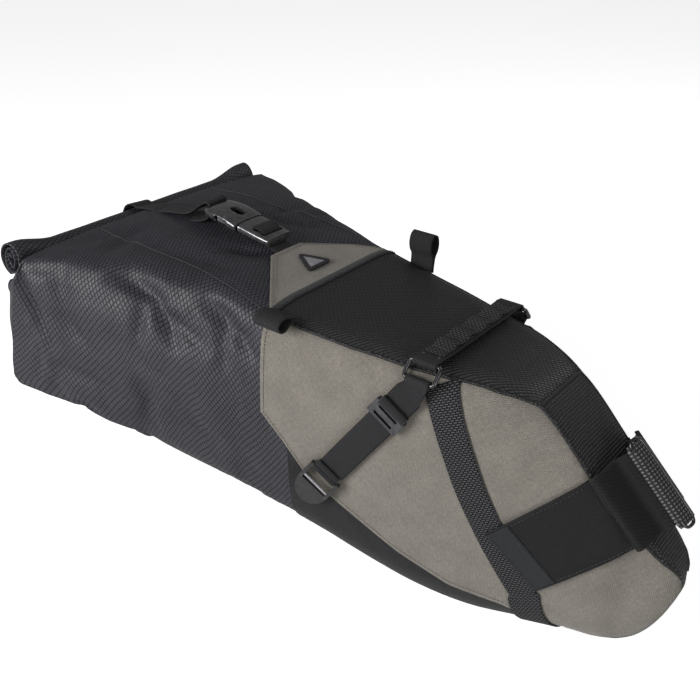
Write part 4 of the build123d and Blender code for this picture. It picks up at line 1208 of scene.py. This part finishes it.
# free tail of the closure strap, folded back over itself
tail = [(bar_x + 0.6, -0.4, bar_z + 5.6), (bar_x - 3.5, -0.6, bar_z + 7.0),
        (bar_x - 10, -0.8, bar_z + 3.6), (-290, -1.6, 39.4), (-312, -2.2, 35.4),
        (-328, -2.4, 33.0)]
ribbon("closure_strap_tail", curve(tail, 40), (0, 1, 0.05), 20.2, 1.2, body="closure")


def loft(rings):
    """Closed solid through these rings of points, facing outwards."""
    n, k = len(rings), len(rings[0])
    points = np.array(rings, float).reshape(-1, 3)
    faces = grid_faces(n, k, close_cols=True)
    faces += [tuple(range(k))[::-1], tuple((n - 1) * k + i for i in range(k))]
    rel = points - points.mean(0)
    volume = sum(float(np.dot(rel[f[0]], np.cross(rel[f[i]], rel[f[i + 1]])))
                 for f in faces for i in range(1, len(f) - 1))
    return points, faces if volume > 0 else [f[::-1] for f in faces]


def arc(centre_a, centre_b, radius, start, end, steps):
    angles = [math.radians(start + (end - start) * i / steps) for i in range(steps + 1)]
    return [(centre_a + radius * math.cos(q), centre_b + radius * math.sin(q)) for q in angles]


def rounded_rect(a0, a1, b0, b1, r):
    return [point for a, b, start in ((a1 - r, b1 - r, 0), (a0 + r, b1 - r, 90),
                                      (a0 + r, b0 + r, 180), (a1 - r, b0 + r, 270))
            for point in arc(a, b, r, start, start + 90, 5)]


def oval(u, half, top, bottom, power, count=44):
    """Ring of the buckle at u: a superellipse."""
    ring = []
    for q in np.linspace(0, 2 * math.pi, count, endpoint=False) + math.pi / count:
        c, s = [math.copysign(abs(f) ** (2 / power), f) for f in (np.cos(q), np.sin(q))]
        ring.append(buckle_at(u, half * c, (top + bottom) / 2 + (top - bottom) / 2 * s))
    return ring


def prism(axis, outline, ends):
    """Solid of this outline along buckle axis 0 (u), 1 (y) or 2 (w)."""
    return loft([[buckle_at(*p[:axis], end, *p[axis:]) for p in outline] for end in ends])


def moulded(name, rings, cuts, body, node):
    """Lofted plastic part with pieces cut out of it or added to it, and its edges rounded."""
    obj = finish_mesh(name, *loft(rings), None, BUCKLE, None, sharp=None)
    cutters = []
    for kind, (points, faces) in cuts:
        mesh = bpy.data.meshes.new("cutter")
        mesh.from_pydata([tuple(p) for p in points * 0.001], [], faces)
        cutter = bpy.data.objects.new("cutter", mesh)
        SCENE.collection.objects.link(cutter)
        mod = obj.modifiers.new("cut", "BOOLEAN")
        mod.operation, mod.object, mod.solver = kind, cutter, "EXACT"
        cutters.append(cutter)
    bevel = obj.modifiers.new("edge", "BEVEL")
    bevel.width, bevel.segments = 0.45 * 0.001, 2
    bevel.limit_method, bevel.angle_limit = "ANGLE", 0.8
    bpy.context.view_layer.update()
    graph = bpy.context.evaluated_depsgraph_get()
    mesh = bpy.data.meshes.new_from_object(obj.evaluated_get(graph))
    obj.modifiers.clear()
    old = obj.data
    obj.data = mesh
    bpy.data.meshes.remove(old)
    mesh.shade_smooth()
    mesh.set_sharp_from_angle(angle=0.8)
    for cutter in cutters:
        cutter_mesh = cutter.data
        bpy.data.objects.remove(cutter)
        bpy.data.meshes.remove(cutter_mesh)
    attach(obj, body)
    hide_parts(node)


# Shell: hollow from the front, a window in each side and the top, a strap slot at the rear
rings = []
for u in np.r_[-46.0 + 26 * (1 - np.cos(np.linspace(0.05, math.pi / 2, 14))),
               np.linspace(-18, 0.8, 9)]:
    t = max(0.0, -20 - u) / 26
    half = 17.5 * (1 - t**3) ** 0.45
    fall = 4.6 * ((u + 17) / 29) ** 2 if u < -17 else 2.0 * ((u + 17) / 17.8) ** 2
    rings.append(oval(u, max(half, 1.5), 6.9 - fall - 0.6 * t**4, -5.2 + 1.4 * t**3, 3.0))
side_window = rounded_rect(-25.0, -10.0, -3.3, 3.3, 2.2)
top_window = arc(-10, 0, 4.5, -90, 90, 9) + arc(-16, 0, 4.5, 90, 270, 9)
holes = [prism(0, rounded_rect(-14.8, 14.8, -3.4, 3.4, 1.5), (3.0, -30.5)),
         prism(1, side_window, (12.0, 22.0)), prism(1, side_window, (-12.0, -22.0)),
         prism(2, top_window, (0.5, 12.0)),
         prism(2, rounded_rect(-38.8, -35.2, -11.3, 11.3, 1.4), (-12.0, 12.0))]
moulded("buckle_shell", rings, [("DIFFERENCE", hole) for hole in holes], "closure",
        "buckle_female")

# Frame: two strap slots, a socket for each prong, and a tongue into the shell
rings = []
for u in np.linspace(2.0, 36.0, 15):
    t = (u - 2) / 34
    rings.append(oval(u, 15.5 - 1.2 * t**4, 4.5 - 0.9 * t * t, -4.2 + 0.6 * t**3, 3.6))
holes = [prism(2, rounded_rect(u - 2.4, u + 2.4, -11.5, 11.5, 1.3), (-12.0, 12.0))
         for u in (17.6, 27.6)]
for y in (-9.6, 9.6):
    socket = arc(7, y, 2.66, -90, 90, 8) + [(-1.0, y + 2.66), (-1.0, y - 2.66)]
    holes.append(prism(2, socket, (-2.7, 2.7)))
tongue = prism(0, rounded_rect(-3.0, 3.0, -1.6, 1.6, 0.8), (4.0, -22.8))
moulded("buckle_frame", rings, [("DIFFERENCE", hole) for hole in holes] + [("UNION", tongue)],
        "bag", "buckle_male")

FLAP_STRAP = [(14.2, 4.9), (19.0, 5.4), (24.5, 5.3), (27.2, 4.0), (27.6, 0.0), (28.0, -3.8),
              (31.5, -5.3), (37.5, -6.0), (43.5, -7.2)]         # u, w
ribbon("flap_strap_web", curve([buckle_at(u, 0, w) for u, w in FLAP_STRAP], 50), (0, 1, 0),
       19.6, 1.25, repl=("flap_strap",))

# ---------------------------------------------------------------- seatpost strap
SLANT = math.sqrt(0.5)          # the post leans 45 degrees to the rear
STRAP_BASE = np.array([139.6, -68.6])                           # x, z
POST_CENTRE = np.array([STRAP_BASE[0] + 15.3 * SLANT, 0, STRAP_BASE[1] + 15.3 * SLANT])
POST_FRONT, POST_UP = np.array([SLANT, 0, SLANT]), np.array([-SLANT, 0, SLANT])
POST_AXES = np.array([POST_FRONT, (0, 1.0, 0), POST_UP])
POST_RADIUS = 12.75
LOOP_RADIUS = POST_RADIUS + 0.7
FLAT = 0.74                     # the empty loop hangs a little flat
STRAP_HALF = 27.8


def post(x, y, z=0.0):
    return POST_CENTRE + stack(x, y, z) @ POST_AXES


# One end of the loop, in the plane across the post: x, y
LEG = [(-13.2, -36.4), (-10.6, -36.3), (-8.9, -34.0), (-6.2, -24.0), (-4.2, -16.5),
       (-2.0, -14.3), (1.5, -13.6)]
front_arc = [(FLAT * LOOP_RADIUS * math.cos(q), LOOP_RADIUS * math.sin(q))
             for q in np.radians(np.linspace(-75, 75, 13))]
path = curve(LEG + front_arc + [(x, -y) for x, y in LEG[::-1]], 110)
front = ribbon("seatpost_strap_front", post(*path.T), POST_UP, 57.0, 1.4, TWILL, None, cols=25,
               repl=("seatpost_strap",), slot="strap_fabric")
tuple(post(-13.5, 37) * 0.001)
tuple(post(-8.0, 33) * 0.001)
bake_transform(front)


def strap_place(u, w, side=1):
    """(x, v) on the bag's side: u along the strap towards the post, w down across it."""
    x, v = side_place(STRAP_BASE, np.array([SLANT, SLANT]), np.array([SLANT, -SLANT]), u, w)
    return x, v * side


def strap_patch(name, u_range, half, counts, lift, thick, mat, side=1, **kw):
    u = np.linspace(*u_range, counts[0])[:, None]
    w = np.linspace(-half, half, counts[1])
    panel(name, *strap_place(u, w, side), lift, thick, mat, uv=(u, w), flip=side < 0, **kw)


w = np.linspace(-STRAP_HALF, STRAP_HALF, 25)
on_side = skin(*strap_place(np.linspace(-88, -4, 50)[:, None], w), 4.0)
tail_grid = np.concatenate([on_side, bridge(on_side[-1], post(-13.0, -36.9, -w),
                                            np.linspace(0, 1, 6)[1:])])
tail = slab("strap_tail_cloth", tail_grid, 1.6, TWILL, None,
            normals=normals_facing(tail_grid, (20, 12), (0, -1, 0)), repl=("strap_tail",),
            slot="strap_fabric")
tuple(on_side[-3, 12] * 0.001)
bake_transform(tail)
strap_patch("strap_label_cloth", (-87.4, -68.0), 26.4, (14, 20), 5.25, 0.7, LABEL,
            body="strap_end", repl=("strap_label",), slot="label")
row_w = np.linspace(-25.5, 25.5, 50)
for name, u in (("label_edge_stitch", -86.4), ("label_inner_stitch", -69.2)):
    skin_stitches(name, *strap_place(u, row_w), 5.75, BLACK_THREAD, body="strap_end",
                  pitch=2.6, length=1.9, slot="label")
for name, w in (("tail_stitch_top", -25.6), ("tail_stitch_bottom", 25.6)):
    skin_stitches(name, *strap_place(np.linspace(-66, -8, 60), w), 4.95, BLACK_THREAD,
                  body="strap_end", slot="strap_fabric")
strap_patch("loop_patch_pile", (-52, -16), 24, (24, 24), 1.9, 0.8, PILE, repl=("loop_patch",),
            slot="loop_pile")
strap_patch("strap_anchor_cloth", (-34, 1.0), STRAP_HALF, (24, 24), 2.2, 1.4, TWILL, side=-1,
            repl=("strap_anchor",), slot="strap_fabric")
for k, u in enumerate((-31.5, -5.5)):
    skin_stitches("anchor_stitch_%d" % k, *strap_place(u, row_w, side=-1), 3.1, BLACK_THREAD,
                  slot="strap_fabric")

# Padded sleeve on the front of the loop
PAD_HALF = 31
angle = np.radians(np.linspace(-48, 8, 26))[:, None]
z = np.linspace(-PAD_HALF, PAD_HALF, 30)
inside = np.minimum(np.minimum((angle - angle[0]) / 0.16, (angle[-1] - angle) / 0.16),
                    (PAD_HALF - abs(z)) / 5)
radius = POST_RADIUS + 1.4 + 0.15 + 1.5 + 0.9 * smooth(inside)
pad_grid = post((radius - LOOP_RADIUS + FLAT * LOOP_RADIUS) * np.cos(angle),
                radius * np.sin(angle), z)
slab("seatpost_pad_cloth", pad_grid, 2.6, PAD, "seatpost_loop",
     normals=normals_facing(pad_grid, (12, 12), POST_FRONT), repl=("seatpost_pad",),
     slot="pad_fabric", rim=0.6)

# Wire ring inside the sleeve, its two ends showing above and below it
ring_angle = math.radians(-20)
cos, sin = math.cos(ring_angle), math.sin(ring_angle)
sideways, z = np.array([        # distance across the ring, height up the post
    (-4.6, -31.5), (-5.4, -25), (-5.4, 0), (-5.4, 25), (-4.6, 31.5), (-2.6, 34.0), (2.6, 34.0),
    (4.6, 31.5), (5.4, 25), (5.4, 0), (5.4, -25), (4.6, -31.5), (2.6, -34.0), (-2.6, -34.0)]).T
ring_points = post((FLAT * LOOP_RADIUS + 2.6) * cos - sin * sideways,
                   (LOOP_RADIUS + 2.6) * sin + cos * sideways, z)
tube("pad_ring", curve(ring_points, 120, closed=True), 1.25, GLOSS, sides=10, closed=True,
     body="seatpost_loop", repl=("seatpost_ring",), slot="gloss_black")

# ---------------------------------------------------------------- badge insert
# A plain light triangle in the moulded frame, stepping in towards its top
badge_tilt = math.radians(8.3)
badge_at = tilted_frame(-157.0, 24.5, math.cos(badge_tilt), math.sin(badge_tilt))
MIDDLE_U = 3.0
points = [badge_at(MIDDLE_U + (u - MIDDLE_U) * size, y * size, w)
          for size, w in ((1.0, 1.55), (0.97, 1.85), (0.9, 2.0))
          for u, y in ((8.6, 8.8), (8.6, -8.8), (-7.6, 0.0))]
points.append(badge_at(MIDDLE_U, 0.0, 2.05))
faces = [(r + k, r + (k + 1) % 3, r + 3 + (k + 1) % 3, r + 3 + k)
         for r in (0, 3) for k in range(3)]
faces += [(6 + k, 6 + (k + 1) % 3, 9) for k in range(3)] + [(2, 1, 0)]
finish_mesh("badge_insert", points, faces, np.zeros((10, 2)), INSERT, slot="badge_rubber")

# ---------------------------------------------------------------- welded top seams
for side, tag in SIDES:
    x = np.linspace(-350, -135, 70)
    v = v_at_reach(x, np.interp(x, [-350, -132], [68, 76]) * side)
    seam = raw(x, v)
    across = np.gradient(seam, axis=0)[:, [1, 0, 2]] * [-1, 1, 0] + [0, 1e-3, 0]
    ribbon("weld_seam_" + tag, skin(x, v, dents(seam, v) + 0.35), across, 1.0, 0.5, WELD,
           cols=3, slot="shell_fabric")


# ---------------------------------------------------------------- floor, light and camera
def floor_mat():
    """Near-white floor that glows only to the camera."""
    s = Shader("studio_floor")
    patch = s.noise(s.object_mm(), scale=0.004)
    seen = Signal(s, s.new("LightPath").outputs["Is Camera Ray"])
    s.set(Base_Color=s.mix(patch, (0.80, 0.80, 0.80), (0.84, 0.84, 0.84)), Roughness=0.9,
          Emission_Color=(1.0, 1.0, 1.0), Emission_Strength=seen * 0.72)
    return s.material


FLOOR_HALF = 4000
lowest = min(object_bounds()[0][2], cad_box[0][2])
floor = finish_mesh("floor_sheet",
                    [(a * FLOOR_HALF, b * FLOOR_HALF, 0)
                     for a, b in ((-1, -1), (1, -1), (1, 1), (-1, 1))],
                    [(0, 1, 2, 3)], None, floor_mat(), None)
floor.location.z = lowest - 0.0005

# White world: full strength to the camera, dim as a light
world = bpy.data.worlds.new("studio")
SCENE.world = world
world.use_nodes = True
tree = world.node_tree
background = tree.nodes["Background"]
background.inputs[0].default_value = (1.0, 1.0, 1.0, 1)
light_path = tree.nodes.new("ShaderNodeLightPath")
strength = tree.nodes.new("ShaderNodeMapRange")
strength.inputs["To Min"].default_value = 0.17
strength.inputs["To Max"].default_value = 1.0
tree.links.new(light_path.outputs["Is Camera Ray"], strength.inputs["Value"])
tree.links.new(strength.outputs["Result"], background.inputs[1])


def area(name, location, target, size, power):
    """Square area light; places and size in metres, power in watts."""
    data = bpy.data.lights.new(name, "AREA")
    data.shape, data.size, data.energy = "SQUARE", size, power
    lamp = bpy.data.objects.new(name, data)
    SCENE.collection.objects.link(lamp)
    lamp.location = location
    aim = Vector(target) - Vector(location)
    lamp.rotation_euler = aim.to_track_quat("-Z", "Y").to_euler()


area("key", location=(-0.75, -1.7, 0.62), target=(-0.08, 0, -0.08), size=1.1, power=36)
area("rim", location=(0.5, 1.5, 1.3), target=(0.0, 0, -0.02), size=0.9, power=6.5)
area("side", location=(1.5, -0.8, 0.35), target=(0.05, 0, -0.08), size=0.8, power=8)

camera_data = bpy.data.cameras.new("photo_view")
camera = bpy.data.objects.new("photo_view", camera_data)
SCENE.collection.objects.link(camera)
camera.location = (0.3055, -0.5261, 0.3287)
camera.rotation_euler = (math.radians(61), 0, math.radians(38.6))
camera_data.lens, camera_data.sensor_width = 47.31, 36
camera_data.clip_start = 0.01
SCENE.camera = camera
SCENE.view_settings.view_transform = "Standard"
